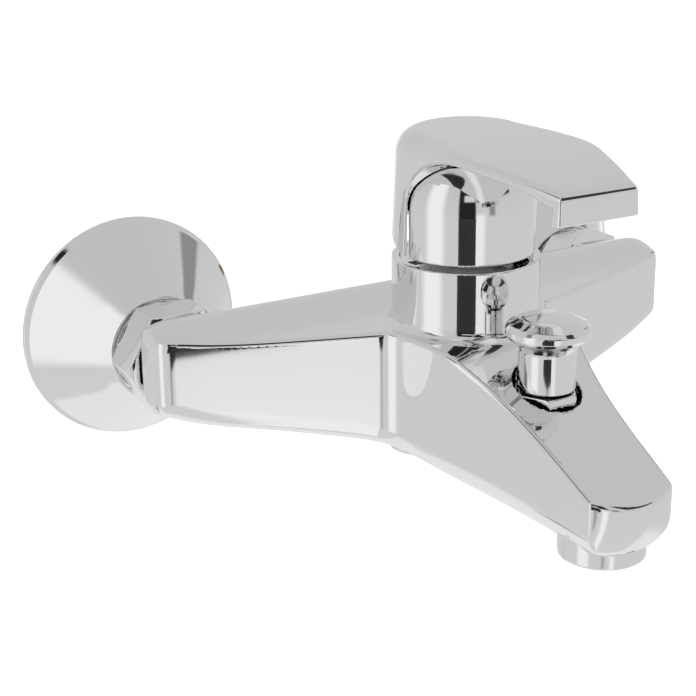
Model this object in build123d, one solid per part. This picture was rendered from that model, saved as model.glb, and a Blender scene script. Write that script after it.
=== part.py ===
"""Wall mounted bath mixer: a bar body with two eccentric wall unions, a 35 mm single lever
cartridge, a bath spout with a pull-up shower diverter, and a shower hose outlet underneath.

Frame: millimetres. The origin is on the finished wall, midway between the two inlet nut axes.
+X runs along the bar to the right inlet, +Y goes into the wall, +Z is up.
Distances called OUT are measured from the wall towards the user, so a piece at OUT has y = -OUT.
"""
from math import cos, hypot, radians, sin, sqrt, tan
import os

from build123d import *

# ---- Wall and unions -------------------------------------------------------------------------
INLET_SPACING = 150.0          # between the two inlet axes
ECCENTRICITY = 7.5             # wall thread axis above the nut axis
WALL_THREAD_R = 10.48          # G1/2
NUT_THREAD_R = 13.2            # G3/4
THREAD_GAP = 0.05              # radial play of every screwed or pushed joint
WALL_THREAD_DEPTH = 14.0       # reach of the wall thread behind the finished wall
ECCENTRIC_R = 15.0             # round shoulder that the escutcheon sits on
SHOULDER_OUT = 10.0
COUPLING_OUT = 26.0            # end of the shoulder, start of the coupling thread
UNION_END_OUT = 35.0
WASHER_T = 2.0
NIPPLE_COLLAR_R = 12.6
NIPPLE_COLLAR_T = 2.0
NIPPLE_R = 10.4
NIPPLE_BORE_R = 8.0
NIPPLE_DEPTH = 10.5            # screwed depth in the body
NUT_ACROSS_FLATS = 30.0
NUT_LENGTH = 14.0
NUT_LIP_T = 1.8
ESCUTCHEON_R = 35.0
ESCUTCHEON_LIP = 1.7
ESCUTCHEON_WALL = 1.0

# ---- Body ------------------------------------------------------------------------------------
REAR_OUT = 41.5                # rear face of the bar
END_MARGIN = 16.0              # bar beyond each inlet axis
END_FRONT_OUT = 56.6           # front corner of the bar at its end
CREST_Z = 18.0                 # highest line of the bar, near its rear
DECK_Z = 12.0                  # flat top around the hub
HUB_OUT = 77.2                 # cartridge axis
ARM_ROOT_X = 30.0              # where the arm's front turns into the spout
SPOUT_REACH = 162.0            # wall to spout tip
TIP_TOP_Z = -15.7
TIP_WALL = 1.5                 # brass beside the aerator, at the tip
TIP_BULGE = 5.0                # how far the tip's middle stands in front of its corners
SPOUT_FLOOR_Z = -33.3
ARM_FLOOR_Z = -12.0            # underside near the bar's ends
KNEE_OUT = 100.0               # where the flat top starts to fall
KNEE_R = 30.0
COLLAR_WALL = 2.55
COLLAR_TOP_Z = 31.4
COLLAR_FLARE = 2.8
CHANNEL_OUT = 50.0             # water channel along the bar
CHANNEL_R = 6.5

# ---- Cartridge -------------------------------------------------------------------------------
SEAT_Z = 8.0
CARTRIDGE_R = 17.5
CARTRIDGE_GAP = 0.3
BASE_T = 3.0
PORT_X = 8.0                   # hot and cold ports, left and right of the axis
PORT_BACK = 5.2                # ... and behind it
OUTLET_FORWARD = 7.8           # mixed water port, in front of the axis
PORT_R = 3.4
PORT_SEAL_R = 5.2
PORT_SEAL_T = 1.6
FIXED_DISC_T = 3.5
MOVING_DISC_T = 3.5
DISC_TRAVEL = 4.2              # of the moving disc, shut to open
CARRIER_T = 4.0
SHOULDER_Z = 24.0              # top of the wide part, clamped by the cartridge nut
HOUSING_WALL = 1.3
HOUSING_ROOF = 1.5
NECK_STEP = 4.0                # neck radius below the wide part's
NECK_WALL = 2.0
NECK_TOP_Z = 51.8
ROTOR_FLOOR_Z = 37.6
ROTOR_TOP_Z = 49.5
ROTOR_STEP = 1.3               # held down by the clip
ROTOR_SPIGOT_TOP_Z = 54.0
RUNNING_GAP = 0.1              # radial play between turning pieces
CLIP_T = 0.9
NUT_RING_LIP = 1.6             # cartridge nut, wider than the cartridge
NUT_RING_TOP_Z = 31.0
PIVOT_Z = 46.0
PIN_R = 1.5
STEM_THICK = 5.0               # across the pivot pin
STEM_DEPTH = 8.0               # front to back
SQUARE_Z = 57.0                # start of the stem's square end
STEM_TOP_Z = 62.3
BALL_R = 3.0
BALL_DROP = 11.0               # ball centre below the pivot

# ---- Lever -----------------------------------------------------------------------------------
CAP_SETBACK = 1.7              # dome radius below the collar's
CAP_WALL = 1.5
CAP_FLOOR_Z = 32.8
CAP_OPEN_Z = 60.0
CAP_WEB_T = 1.5
HOOD_GAP = 0.45                # hood inside to dome outside
HOOD_WALL = 1.25
HOOD_TAPER = 1.1               # radius lost from the hood's floor to its top
HOOD_FLOOR_Z = 33.6
HOOD_ROOF = 2.15               # above the dome's room
HOOD_CORNER_R = 7.0
LIFT_ANGLE = 22.0              # degrees of lever lift the hood's rear edge leaves room for
LEVER_REACH = 61.5             # hub axis to the lever's front edge
LEVER_TIP_HALF = 12.6
LEVER_FALL = 5.4               # from the hood's top to the lever's front edge
BLADE_T = 3.4
CHIN_DROP = 8.4                # height of the turned-down front edge
CHIN_T = 2.6
BOSS_R = 7.0
GRUB_R = 2.45
GRUB_Z = 59.8

# ---- Diverter --------------------------------------------------------------------------------
DIVERTER_FORWARD = 41.1        # in front of the cartridge axis
RECESS_R = 9.6
RECESS_FLOOR_Z = -5.0
BONNET_GAP = 0.7               # recess wall to bonnet thread
BONNET_HEX = 15.6
BONNET_TOP_Z = 2.4
WINDOW_TOP_Z = -6.8
WINDOW_FLOOR_Z = -10.5
UPPER_SEAT_Z = -12.5
LOWER_SEAT_Z = -22.0
UPPER_SEAT_R = 4.5
LOWER_SEAT_R = 5.0
CHAMBER_R = 8.0
VALVE_GAP = 1.0                # chamber wall to valve washer
VALVE_T = 3.2
SEAT_GAP = 0.2                 # drawn between a valve and the seat that it rests on
SPINDLE_R = 2.0
KNOB_R = 8.0
KNOB_FLOOR_Z = 3.2
KNOB_NECK_Z = 16.5
KNOB_HEAD_R = 11.8
KNOB_TOP_Z = 24.5
MIXED_Z = -17.5                # channel from the cartridge to the diverter
RETURN_Z = -26.0               # channel from the diverter back to the shower outlet
SPOUT_CHANNEL_R = 3.0

# ---- Aerator and shower outlet ---------------------------------------------------------------
AERATOR_SETBACK = 4.7          # spout tip to the aerator's front
AERATOR_R = 12.0
AERATOR_FLOOR_Z = -35.5
AERATOR_TOP_Z = -24.0
AERATOR_WASHER_T = 1.6
SHOWER_OUT = 52.0
SHOWER_FACE_Z = -30.0
SHOWER_END_Z = -38.0
SPOT_FACE_R = 13.3             # room for the hose nut
CHECK_R = 7.0
CHECK_TOP_Z = -30.3
POPPET_R = 4.3
POPPET_TRAVEL = 1.2
POPPET_T = 2.0
GUIDE_T = 1.4

# ---- Worked out ------------------------------------------------------------------------------
INLET_X = INLET_SPACING / 2
END_X = INLET_X + END_MARGIN
HUB_Y = -HUB_OUT
TIP_Y = -SPOUT_REACH
DIVERTER_Y = HUB_Y - DIVERTER_FORWARD
AERATOR_Y = TIP_Y + AERATOR_SETBACK + AERATOR_R
TIP_HALF = AERATOR_R + TIP_WALL
BASE_TOP_Z = SEAT_Z + BASE_T
FIXED_DISC_TOP_Z = BASE_TOP_Z + FIXED_DISC_T
MOVING_DISC_TOP_Z = FIXED_DISC_TOP_Z + MOVING_DISC_T
CARRIER_TOP_Z = MOVING_DISC_TOP_Z + CARRIER_T
BALL_Z = PIVOT_Z - BALL_DROP
CARTRIDGE_BORE_R = CARTRIDGE_R + CARTRIDGE_GAP
MOVING_DISC_R = CARTRIDGE_R - HOUSING_WALL - DISC_TRAVEL - 0.5
NECK_R = CARTRIDGE_R - NECK_STEP
ROTOR_R = NECK_R - NECK_WALL - RUNNING_GAP
ROTOR_SPIGOT_R = ROTOR_R - ROTOR_STEP
NUT_RING_R = CARTRIDGE_R + NUT_RING_LIP
COLLAR_R = NUT_RING_R + THREAD_GAP + COLLAR_WALL
CAP_R = COLLAR_R - CAP_SETBACK
HOOD_INNER_R = CAP_R + HOOD_GAP
HOOD_R = HOOD_INNER_R + HOOD_WALL
HOOD_TOP_R = HOOD_R - HOOD_TAPER
HOOD_TOP_Z = PIVOT_Z + HOOD_INNER_R + HOOD_ROOF
LEVER_TIP_Z = HOOD_TOP_Z - LEVER_FALL
BONNET_R = RECESS_R - BONNET_GAP
VALVE_R = CHAMBER_R - VALVE_GAP
PORTS = [(-PORT_X, PORT_BACK), (PORT_X, PORT_BACK), (0.0, -OUTLET_FORWARD)]
UPRIGHT = (Align.CENTER, Align.CENTER, Align.MIN)


def upright(radius, low, high, x=0.0, y=0.0):
    """A cylinder along Z, from low to high."""
    return Pos(x, y, low) * Cylinder(radius, high - low, align=UPRIGHT)


def outward(radius, near, far, x=0.0, z=0.0):
    """A cylinder along -Y; near and far are measured out from the wall."""
    return Pos(x, -near, z) * Rot(X=90) * Cylinder(radius, far - near, align=UPRIGHT)


def sideways(radius, left, right, y=0.0, z=0.0):
    """A cylinder along X, from left to right."""
    return Pos(left, y, z) * Rot(Y=90) * Cylinder(radius, right - left, align=UPRIGHT)


def ring(outer, inner, low, high, x=0.0, y=0.0):
    """A flat washer or a tube about a line along Z."""
    return upright(outer, low, high, x, y) - upright(inner, low, high, x, y)


def block(x_range, y_range, z_range):
    """A box between two corners, given as ranges."""
    sizes = [high - low for low, high in (x_range, y_range, z_range)]
    middles = [(high + low) / 2 for low, high in (x_range, y_range, z_range)]
    return Pos(*middles) * Box(*sizes)


def turned(*points):
    """A solid of revolution about Z, from (radius, height) points."""
    return revolve(make_face(Plane.XZ * Polyline(*points, close=True)), Axis.Z)


def hexagon(across_flats, low, high):
    """A hexagonal prism about Z."""
    face = RegularPolygon(across_flats / 2, 6, major_radius=False)
    return Pos(0, 0, low) * extrude(face, high - low)


def outline(edges):
    """A face from the right half of its outline, mirrored about x = 0."""
    return make_face(edges + [mirror(edge, about=Plane.YZ) for edge in edges])


def coil(radius, wire_r, low, high, turns):
    """A compression spring about Z."""
    height = high - low - 2 * wire_r
    path = Pos(0, 0, low + wire_r) * Helix(height / turns, height, radius)
    section = (path ^ 0) * Circle(wire_r)
    return sweep(section, path=path)


# ---- Body ------------------------------------------------------------------------------------
def plan_outline():
    """The body seen from above."""
    corner = (TIP_HALF, TIP_Y + TIP_BULGE)
    root = (ARM_ROOT_X, HUB_Y - 0.3)
    arm_end = (END_X, -END_FRONT_OUT)
    arm_run = (arm_end[0] - root[0], arm_end[1] - root[1])
    tip = TangentArc((0, TIP_Y), corner, tangent=(1, 0))
    neck = Spline(
        corner,
        (TIP_HALF + 2.1, DIVERTER_Y - 8.7),
        (COLLAR_R - 2.4, DIVERTER_Y + 8.3),
        (COLLAR_R + 1.5, HUB_Y - 18.8),
        (COLLAR_R + 3.2, HUB_Y - 8.8),
        root,
        tangents=((0.06, 1), arm_run),
    )
    rest = Polyline(root, arm_end, (END_X, -REAR_OUT), (0, -REAR_OUT))
    face = outline([tip, neck, *rest.edges()])
    ends = [v for v in face.vertices() if abs(abs(v.X) - END_X) < 0.01]
    face = fillet([v for v in ends if v.Y < -REAR_OUT - 1], 5.0)
    rear = [v for v in face.vertices() if abs(abs(v.X) - END_X) < 0.01 and v.Y > -REAR_OUT - 1]
    return fillet(rear, 3.0)


def side_outline():
    """The body seen from its right end, as (y, z)."""
    nose_z = TIP_TOP_Z - 0.9
    crest = Spline(
        (-REAR_OUT, CREST_Z - 8.0),
        (-REAR_OUT - 2.1, CREST_Z - 2.2),
        (-REAR_OUT - 7.0, CREST_Z),
        (-REAR_OUT - 12.5, CREST_Z - 2.2),
        (-REAR_OUT - 18.5, DECK_Z + 1.0),
        (-REAR_OUT - 28.5, DECK_Z),
        tangents=((0, 1), (-1, 0)),
    )
    top = FilletPolyline(
        (-REAR_OUT - 28.5, DECK_Z), (-KNEE_OUT, DECK_Z), (TIP_Y - 2, nose_z), radius=KNEE_R
    )
    nose = Spline(
        (TIP_Y - 2, nose_z),
        (TIP_Y + 0.4, -26.0),
        (TIP_Y + 9.0, SPOUT_FLOOR_Z - 0.2),
        tangents=((0.12, -1), (1, -0.05)),
    )
    floor = Line((TIP_Y + 9.0, SPOUT_FLOOR_Z - 0.2), (-REAR_OUT - 24.5, SPOUT_FLOOR_Z + 0.8))
    rear = Spline(
        (-REAR_OUT - 24.5, SPOUT_FLOOR_Z + 0.8),
        (-REAR_OUT - 12.5, SPOUT_FLOOR_Z + 5.8),
        (-REAR_OUT - 4.0, SPOUT_FLOOR_Z + 15.8),
        (-REAR_OUT, ARM_FLOOR_Z + 4.0),
        tangents=((1, 0.05), (0.2, 1)),
    )
    back = Line((-REAR_OUT, ARM_FLOOR_Z + 4.0), (-REAR_OUT, CREST_Z - 8.0))
    return make_face([crest, *top.edges(), nose, floor, rear, back])


def front_outline():
    """The body seen from the front, as (x, z)."""
    top = CREST_Z + 0.5
    side = END_X + 0.15
    under = Spline(
        (0, SPOUT_FLOOR_Z),
        (TIP_HALF, SPOUT_FLOOR_Z + 3.9),
        (ARM_ROOT_X - 6, SPOUT_FLOOR_Z + 8.4),
        (INLET_X * 0.56, ARM_FLOOR_Z - 8.2),
        (INLET_X * 0.81, ARM_FLOOR_Z - 4.6),
        (END_X - 9, ARM_FLOOR_Z),
        tangents=((1, 0), (1, 0.33)),
    )
    rest = Polyline((0, top), (side, top), (side, ARM_FLOOR_Z + 3), (END_X - 9, ARM_FLOOR_Z))
    face = outline([under, *rest.edges()])
    face = fillet([v for v in face.vertices() if abs(v.X) > END_X and v.Y > 0], 9.0)
    return fillet([v for v in face.vertices() if abs(v.X) > END_X and v.Y < 0], 5.0)


def waterways():
    """Everything drilled or cored out of the body for water."""
    cuts = []
    for side in (-1, 1):
        x = side * INLET_X
        near, far = sorted((side * (PORT_X - 4), x))
        cuts.append(sideways(CHANNEL_R, near, far, -CHANNEL_OUT, 0))
        cuts.append(outward(NIPPLE_R + THREAD_GAP, REAR_OUT, REAR_OUT + NIPPLE_DEPTH, x))
        port_out = HUB_OUT - PORT_BACK
        cuts.append(outward(PORT_R + 0.5, CHANNEL_OUT, port_out + PORT_R, side * PORT_X, 0))
        cuts.append(upright(PORT_R, 0, SEAT_Z, side * PORT_X, -port_out))
    outlet_out = HUB_OUT + OUTLET_FORWARD
    cuts.append(upright(PORT_R, MIXED_Z, SEAT_Z, 0, -outlet_out))
    cuts.append(outward(PORT_R + 0.5, outlet_out - PORT_R, -DIVERTER_Y, 0, MIXED_Z))
    cuts.append(outward(SPOUT_CHANNEL_R, SHOWER_OUT, -DIVERTER_Y, 0, RETURN_Z))
    return cuts


def diverter_bores():
    """The stepped bore that takes the diverter, and its channel to the aerator."""
    steps = [
        (RECESS_R, RECESS_FLOOR_Z, DECK_Z),
        (BONNET_R + THREAD_GAP, UPPER_SEAT_Z, RECESS_FLOOR_Z),
        (BONNET_R + 1.3, WINDOW_FLOOR_Z, WINDOW_TOP_Z),
        (CHAMBER_R, LOWER_SEAT_Z, UPPER_SEAT_Z),
        (LOWER_SEAT_R, RETURN_Z, LOWER_SEAT_Z),
    ]
    cuts = [upright(r, low, high, 0, DIVERTER_Y) for r, low, high in steps]
    start = Vector(0, DIVERTER_Y - 6, (WINDOW_TOP_Z + WINDOW_FLOOR_Z) / 2)
    end = Vector(0, AERATOR_Y, AERATOR_TOP_Z + 3)
    run = end - start
    cuts.append(Plane(origin=start, z_dir=run) * Cylinder(SPOUT_CHANNEL_R, run.length, align=UPRIGHT))
    return cuts


def body():
    """The cast body: three outlines intersected, the hub collar, and all its bores."""
    plan = Pos(0, 0, SPOUT_FLOOR_Z - 10) * extrude(plan_outline(), CREST_Z - SPOUT_FLOOR_Z + 20)
    side = extrude(Plane.YZ * side_outline(), END_X + 5, both=True)
    front = extrude(Plane.XZ * front_outline(), SPOUT_REACH + 5)
    shape = plan & side & front
    flare = turned(
        (0, DECK_Z - 6), (COLLAR_R + COLLAR_FLARE, DECK_Z - 6), (COLLAR_R + COLLAR_FLARE, DECK_Z),
        (COLLAR_R + COLLAR_FLARE * 0.3, DECK_Z + COLLAR_FLARE * 0.3),
        (COLLAR_R, DECK_Z + COLLAR_FLARE), (0, DECK_Z + COLLAR_FLARE),
    )
    shape += Pos(0, HUB_Y, 0) * flare
    shape += upright(COLLAR_R, ARM_FLOOR_Z, COLLAR_TOP_Z, 0, HUB_Y)
    shape += upright(CHECK_R + 5.5, SHOWER_FACE_Z, ARM_FLOOR_Z, 0, -SHOWER_OUT)
    shape -= upright(SPOT_FACE_R, SHOWER_END_Z, SHOWER_FACE_Z, 0, -SHOWER_OUT)
    shape += upright(WALL_THREAD_R, SHOWER_END_Z, SHOWER_FACE_Z, 0, -SHOWER_OUT)
    shape -= upright(CARTRIDGE_BORE_R, SEAT_Z, SHOULDER_Z, 0, HUB_Y)
    shape -= upright(NUT_RING_R + THREAD_GAP, SHOULDER_Z, COLLAR_TOP_Z, 0, HUB_Y)
    shape -= upright(AERATOR_R + THREAD_GAP, SPOUT_FLOOR_Z - 9, AERATOR_TOP_Z, 0, AERATOR_Y)
    shape -= upright(AERATOR_R - 4, AERATOR_TOP_Z, AERATOR_TOP_Z + 5, 0, AERATOR_Y)
    shape -= upright(CHECK_R + THREAD_GAP, SHOWER_END_Z, CHECK_TOP_Z, 0, -SHOWER_OUT)
    shape -= upright(CHECK_R - 1.5, CHECK_TOP_Z, RETURN_Z + 6, 0, -SHOWER_OUT)
    for cut in waterways() + diverter_bores():
        shape -= cut
    return shape


# ---- Wall unions -----------------------------------------------------------------------------
def escutcheon(x):
    """A spun cover plate that hides the hole in the wall."""
    inner = ECCENTRIC_R + RUNNING_GAP
    front = inner + ESCUTCHEON_WALL
    back = ESCUTCHEON_R - ESCUTCHEON_WALL
    fall = (COUPLING_OUT - ESCUTCHEON_LIP) / (ESCUTCHEON_R - front)
    skew = ESCUTCHEON_WALL * hypot(1, fall) / fall
    skin = turned(
        (back, 0), (ESCUTCHEON_R, 0), (ESCUTCHEON_R, ESCUTCHEON_LIP), (front, COUPLING_OUT),
        (inner, COUPLING_OUT), (inner, ESCUTCHEON_LIP + (ESCUTCHEON_R - skew - inner) * fall),
        (back, ESCUTCHEON_LIP + (ESCUTCHEON_R - skew - back) * fall),
    )
    return Pos(x, 0, 0) * Rot(X=90) * skin


def eccentric_union(x):
    """The offset union: G1/2 into the wall, G3/4 to the union nut."""
    shape = outward(ECCENTRIC_R, SHOULDER_OUT, COUPLING_OUT, x)
    shape += outward(NUT_THREAD_R, COUPLING_OUT, UNION_END_OUT, x)
    shape += outward(WALL_THREAD_R, -WALL_THREAD_DEPTH, SHOULDER_OUT, x, ECCENTRICITY)
    shape -= outward(9.0, SHOULDER_OUT + 2, UNION_END_OUT, x)
    return shape - outward(7.0, -WALL_THREAD_DEPTH, SHOULDER_OUT + 2, x, ECCENTRICITY)


def inlet_washer(x):
    """The flat fibre washer between union and nipple."""
    tube = outward(NIPPLE_COLLAR_R, UNION_END_OUT, UNION_END_OUT + WASHER_T, x)
    return tube - outward(NIPPLE_BORE_R, UNION_END_OUT, UNION_END_OUT + WASHER_T, x)


def inlet_nipple(x):
    """The collared nipple that carries the union nut."""
    collar_out = UNION_END_OUT + WASHER_T
    shank_out = collar_out + NIPPLE_COLLAR_T
    shape = outward(NIPPLE_COLLAR_R, collar_out, shank_out, x)
    shape += outward(NIPPLE_R, shank_out, REAR_OUT + NIPPLE_DEPTH, x)
    return shape - outward(NIPPLE_BORE_R, collar_out, REAR_OUT + NIPPLE_DEPTH, x)


def union_nut(x):
    """The hexagonal union nut, chamfered at both ends."""
    lip_out = UNION_END_OUT + WASHER_T + NIPPLE_COLLAR_T + 0.1
    end_out = lip_out + NUT_LIP_T
    start_out = end_out - NUT_LENGTH
    corner = NUT_ACROSS_FLATS / sqrt(3)
    flat = NUT_ACROSS_FLATS / 2
    chamfer = (corner - flat) * tan(radians(30)) + 0.4
    hexa = hexagon(NUT_ACROSS_FLATS, start_out, end_out)
    envelope = turned(
        (0, start_out), (flat - 0.4, start_out), (corner, start_out + chamfer),
        (corner, end_out - chamfer), (flat - 0.4, end_out), (0, end_out),
    )
    shape = Pos(x, 0, 0) * Rot(X=90) * (hexa & envelope)
    shape -= outward(NUT_THREAD_R + THREAD_GAP, start_out, lip_out, x)
    return shape - outward(NIPPLE_R + 0.2, lip_out, end_out, x)


# ---- Cartridge, drawn about the hub axis -----------------------------------------------------
def cartridge_base():
    """The bottom of the cartridge, with its three ports and two locating pegs."""
    shape = upright(CARTRIDGE_R, SEAT_Z, BASE_TOP_Z)
    for x, y in PORTS:
        shape -= upright(PORT_R, SEAT_Z, BASE_TOP_Z, x, y)
        shape -= upright(PORT_SEAL_R, SEAT_Z, SEAT_Z + PORT_SEAL_T, x, y)
    return shape


def cartridge_seals():
    """The three port seals, pressed against the body's seat."""
    seals = [ring(PORT_SEAL_R, PORT_R, SEAT_Z, SEAT_Z + PORT_SEAL_T, x, y) for x, y in PORTS]
    return Compound(children=[s.solid() for s in seals])


def cartridge_housing():
    """The cartridge shell: a wide drum for the discs and a neck for the stem holder."""
    shape = upright(CARTRIDGE_R, BASE_TOP_Z, SHOULDER_Z) + upright(NECK_R, SHOULDER_Z, NECK_TOP_Z)
    shape -= upright(CARTRIDGE_R - HOUSING_WALL, BASE_TOP_Z, SHOULDER_Z - HOUSING_ROOF)
    shape -= upright(ROTOR_R - 0.7, SHOULDER_Z - HOUSING_ROOF, ROTOR_FLOOR_Z)
    shape -= upright(ROTOR_R + RUNNING_GAP, ROTOR_FLOOR_Z - 0.2, NECK_TOP_Z)
    clip_low = ROTOR_TOP_Z + RUNNING_GAP
    return shape - upright(ROTOR_R + 0.8, clip_low, clip_low + CLIP_T + 0.1)


def housing_clip():
    """The ring in the neck that keeps the stem holder down."""
    low = ROTOR_TOP_Z + RUNNING_GAP + 0.05
    return ring(ROTOR_R + 0.75, ROTOR_SPIGOT_R + 0.2, low, low + CLIP_T)


def fixed_disc():
    """The lower ceramic disc."""
    shape = upright(CARTRIDGE_R - HOUSING_WALL - 0.3, BASE_TOP_Z, FIXED_DISC_TOP_Z)
    for x, y in PORTS:
        shape -= upright(PORT_R - 0.3, BASE_TOP_Z, FIXED_DISC_TOP_Z, x, y)
    return shape


def moving_disc():
    """The upper ceramic disc, with its mixing pocket."""
    shape = upright(MOVING_DISC_R, FIXED_DISC_TOP_Z, MOVING_DISC_TOP_Z)
    return shape - upright(MOVING_DISC_R - 3.5, FIXED_DISC_TOP_Z, FIXED_DISC_TOP_Z + 1.5)


def disc_carrier():
    """The plastic carrier that the stem's ball pushes to and fro."""
    top = BALL_Z + 0.5
    shape = upright(MOVING_DISC_R, MOVING_DISC_TOP_Z, CARRIER_TOP_Z)
    shape += upright(BALL_R * 2, CARRIER_TOP_Z, top)
    return shape - upright(BALL_R + RUNNING_GAP, BALL_Z - BALL_R - 1.5, top)


def stem_holder():
    """The turning holder in the neck; the stem tilts in its slot."""
    shape = upright(ROTOR_R, ROTOR_FLOOR_Z, ROTOR_TOP_Z)
    shape += upright(ROTOR_SPIGOT_R, ROTOR_TOP_Z, ROTOR_SPIGOT_TOP_Z)
    half = STEM_THICK / 2 + RUNNING_GAP
    reach = ROTOR_SPIGOT_R - 1.8
    shape -= block((-half, half), (-reach, reach), (ROTOR_FLOOR_Z, ROTOR_SPIGOT_TOP_Z))
    return shape - sideways(PIN_R, -ROTOR_R, ROTOR_R, 0, PIVOT_Z)


def stem_pin():
    """The cross pin that the stem tilts on."""
    half = ROTOR_R - 0.3
    return sideways(PIN_R, -half, half, 0, PIVOT_Z)


def lever_stem():
    """The stem: ball end below, square end above for the lever."""
    half = STEM_THICK / 2
    deep = STEM_DEPTH / 2
    shape = Pos(0, 0, BALL_Z) * Sphere(BALL_R)
    shape += upright(2.2, BALL_Z, PIVOT_Z - 5)
    shape += block((-half, half), (-deep, deep), (PIVOT_Z - 6, SQUARE_Z))
    shape += block((-deep, deep), (-deep, deep), (SQUARE_Z, STEM_TOP_Z))
    return shape - sideways(PIN_R + 0.05, -half, half, 0, PIVOT_Z)


def cartridge_nut():
    """The slotted ring nut that clamps the cartridge into the body."""
    shape = ring(NUT_RING_R, NECK_R + RUNNING_GAP, SHOULDER_Z, NUT_RING_TOP_Z)
    for turn in (0, 90):
        slot = block((-NUT_RING_R, NUT_RING_R), (-2, 2), (NUT_RING_TOP_Z - 3, NUT_RING_TOP_Z))
        shape -= Rot(Z=turn) * slot
    return shape


# ---- Lever, drawn about the hub axis ---------------------------------------------------------
def dome_cap():
    """The chromed dome under the lever; it is open behind, where the hood dips in."""
    inner_r = CAP_R - CAP_WALL
    shape = upright(CAP_R, CAP_FLOOR_Z, PIVOT_Z) + Pos(0, 0, PIVOT_Z) * Sphere(CAP_R)
    shape -= upright(inner_r, CAP_FLOOR_Z, PIVOT_Z) + Pos(0, 0, PIVOT_Z) * Sphere(inner_r)
    wide = CAP_R + 1
    shape -= block((-wide, wide), (-wide, wide), (PIVOT_Z - wide, CAP_FLOOR_Z))
    shape -= block((-wide, wide), (-wide, wide), (CAP_OPEN_Z, PIVOT_Z + wide))
    web_z = ROTOR_SPIGOT_TOP_Z
    shape += upright(inner_r - 1.3, web_z, web_z + CAP_WEB_T)
    shape -= block((-5, 5), (-5.5, wide), (web_z - 1, CAP_OPEN_Z))
    shape -= block((-wide, wide), (-0.4, wide), (CAP_FLOOR_Z - 1, PIVOT_Z))
    return shape - block((-wide, wide), (3, wide), (PIVOT_Z - 1, CAP_OPEN_Z + 1))


def lever_section(forward, half, top, corner):
    """One cross-section of the lever's outside, at a distance in front of the axis."""
    low = (HOOD_R if forward == 0 else half, HOOD_FLOOR_Z - 0.6)
    points = [(-low[0], low[1]), low, (half, top - corner), (half, top), (-half, top)]
    points.append((-half, top - corner))
    face = make_face(Polyline(*points, close=True))
    face = fillet([v for v in face.vertices() if v.Y > top - 0.01], corner - 0.02)
    return Plane(origin=(0, -forward, 0), x_dir=(1, 0, 0), z_dir=(0, -1, 0)) * face


def lever_outside():
    """The solid outer form: a turned rear half and a lofted blade."""
    rear = turned(
        (0, HOOD_FLOOR_Z - 0.6), (HOOD_R, HOOD_FLOOR_Z - 0.6), (HOOD_TOP_R, HOOD_TOP_Z - HOOD_CORNER_R),
        (HOOD_TOP_R, HOOD_TOP_Z), (0, HOOD_TOP_Z),
    )
    rim = [e for e in rear.edges() if e.geom_type == GeomType.CIRCLE and e.center().Z > HOOD_TOP_Z - 1]
    rear = fillet(rim, HOOD_CORNER_R - 0.02)
    rear = rear & block((-40, 40), (0, 40), (HOOD_FLOOR_Z - 1, HOOD_TOP_Z + 1))
    blade = loft([
        lever_section(0, HOOD_TOP_R, HOOD_TOP_Z, HOOD_CORNER_R),
        lever_section(10, HOOD_TOP_R + 0.6, HOOD_TOP_Z, 5.2),
        lever_section(22, HOOD_TOP_R + 1.0, HOOD_TOP_Z - 0.5, 2.2),
        lever_section(34, HOOD_TOP_R, HOOD_TOP_Z - 1.3, 1.0),
        lever_section(48, HOOD_TOP_R - 4.1, HOOD_TOP_Z - 2.9, 1.0),
        lever_section(LEVER_REACH, LEVER_TIP_HALF, LEVER_TIP_Z, 1.0),
    ])
    return rear + blade


def under_lever():
    """What is cut away below the hood's rear edge, its side arches and the blade."""
    tip = (-LEVER_REACH - 2, LEVER_TIP_Z - CHIN_DROP)
    chin = -LEVER_REACH + CHIN_T
    lift = radians(LIFT_ANGLE)
    rear_z = PIVOT_Z + (HOOD_R * sin(lift) - (PIVOT_Z - COLLAR_TOP_Z - 0.8)) / cos(lift)
    arch = Spline(
        (-1.0, PIVOT_Z + 4), (-5.0, HOOD_TOP_Z - 11.3), (-13.5, HOOD_TOP_Z - 6.3),
        (-25.0, HOOD_TOP_Z - 3.8), (-38.0, HOOD_TOP_Z - 4.4), (-50.0, HOOD_TOP_Z - 6.2),
        (chin, LEVER_TIP_Z - BLADE_T), tangents=((0, 1), (-1, -0.16)),
    )
    rest = Polyline(
        (chin, LEVER_TIP_Z - BLADE_T), (chin, tip[1]), tip, (tip[0], 0), (30, 0),
        (30, rear_z + 3.4), (HOOD_R, rear_z + 0.4), (-0.8, HOOD_FLOOR_Z), (-1.0, PIVOT_Z + 4),
    )
    return extrude(Plane.YZ * make_face([arch, *rest.edges()]), 40, both=True)


def handle():
    """The lever: hood, blade, and the boss that grips the stem's square."""
    shape = lever_outside() - under_lever()
    shape -= upright(HOOD_INNER_R, HOOD_FLOOR_Z - 1, PIVOT_Z)
    shape -= Pos(0, 0, PIVOT_Z) * Sphere(HOOD_INNER_R)
    shape += upright(BOSS_R, SQUARE_Z + 0.8, HOOD_TOP_Z - 1.5)
    half = STEM_DEPTH / 2 + THREAD_GAP
    shape -= block((-half, half), (-half, half), (SQUARE_Z - 1, STEM_TOP_Z + 0.2))
    shape -= outward(GRUB_R + THREAD_GAP, -HOOD_R - 1, 0, 0, GRUB_Z)
    return shape - outward(3.5, -HOOD_R - 1, -HOOD_TOP_R + 1.2, 0, GRUB_Z)


def handle_screw():
    """The grub screw that locks the lever on its stem."""
    start = STEM_DEPTH / 2 + 0.05
    shape = outward(GRUB_R, -start - 8, -start, 0, GRUB_Z)
    socket = Pos(0, start + 8, GRUB_Z) * Rot(X=90) * hexagon(2.5, 0, 3)
    return shape - socket


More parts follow.
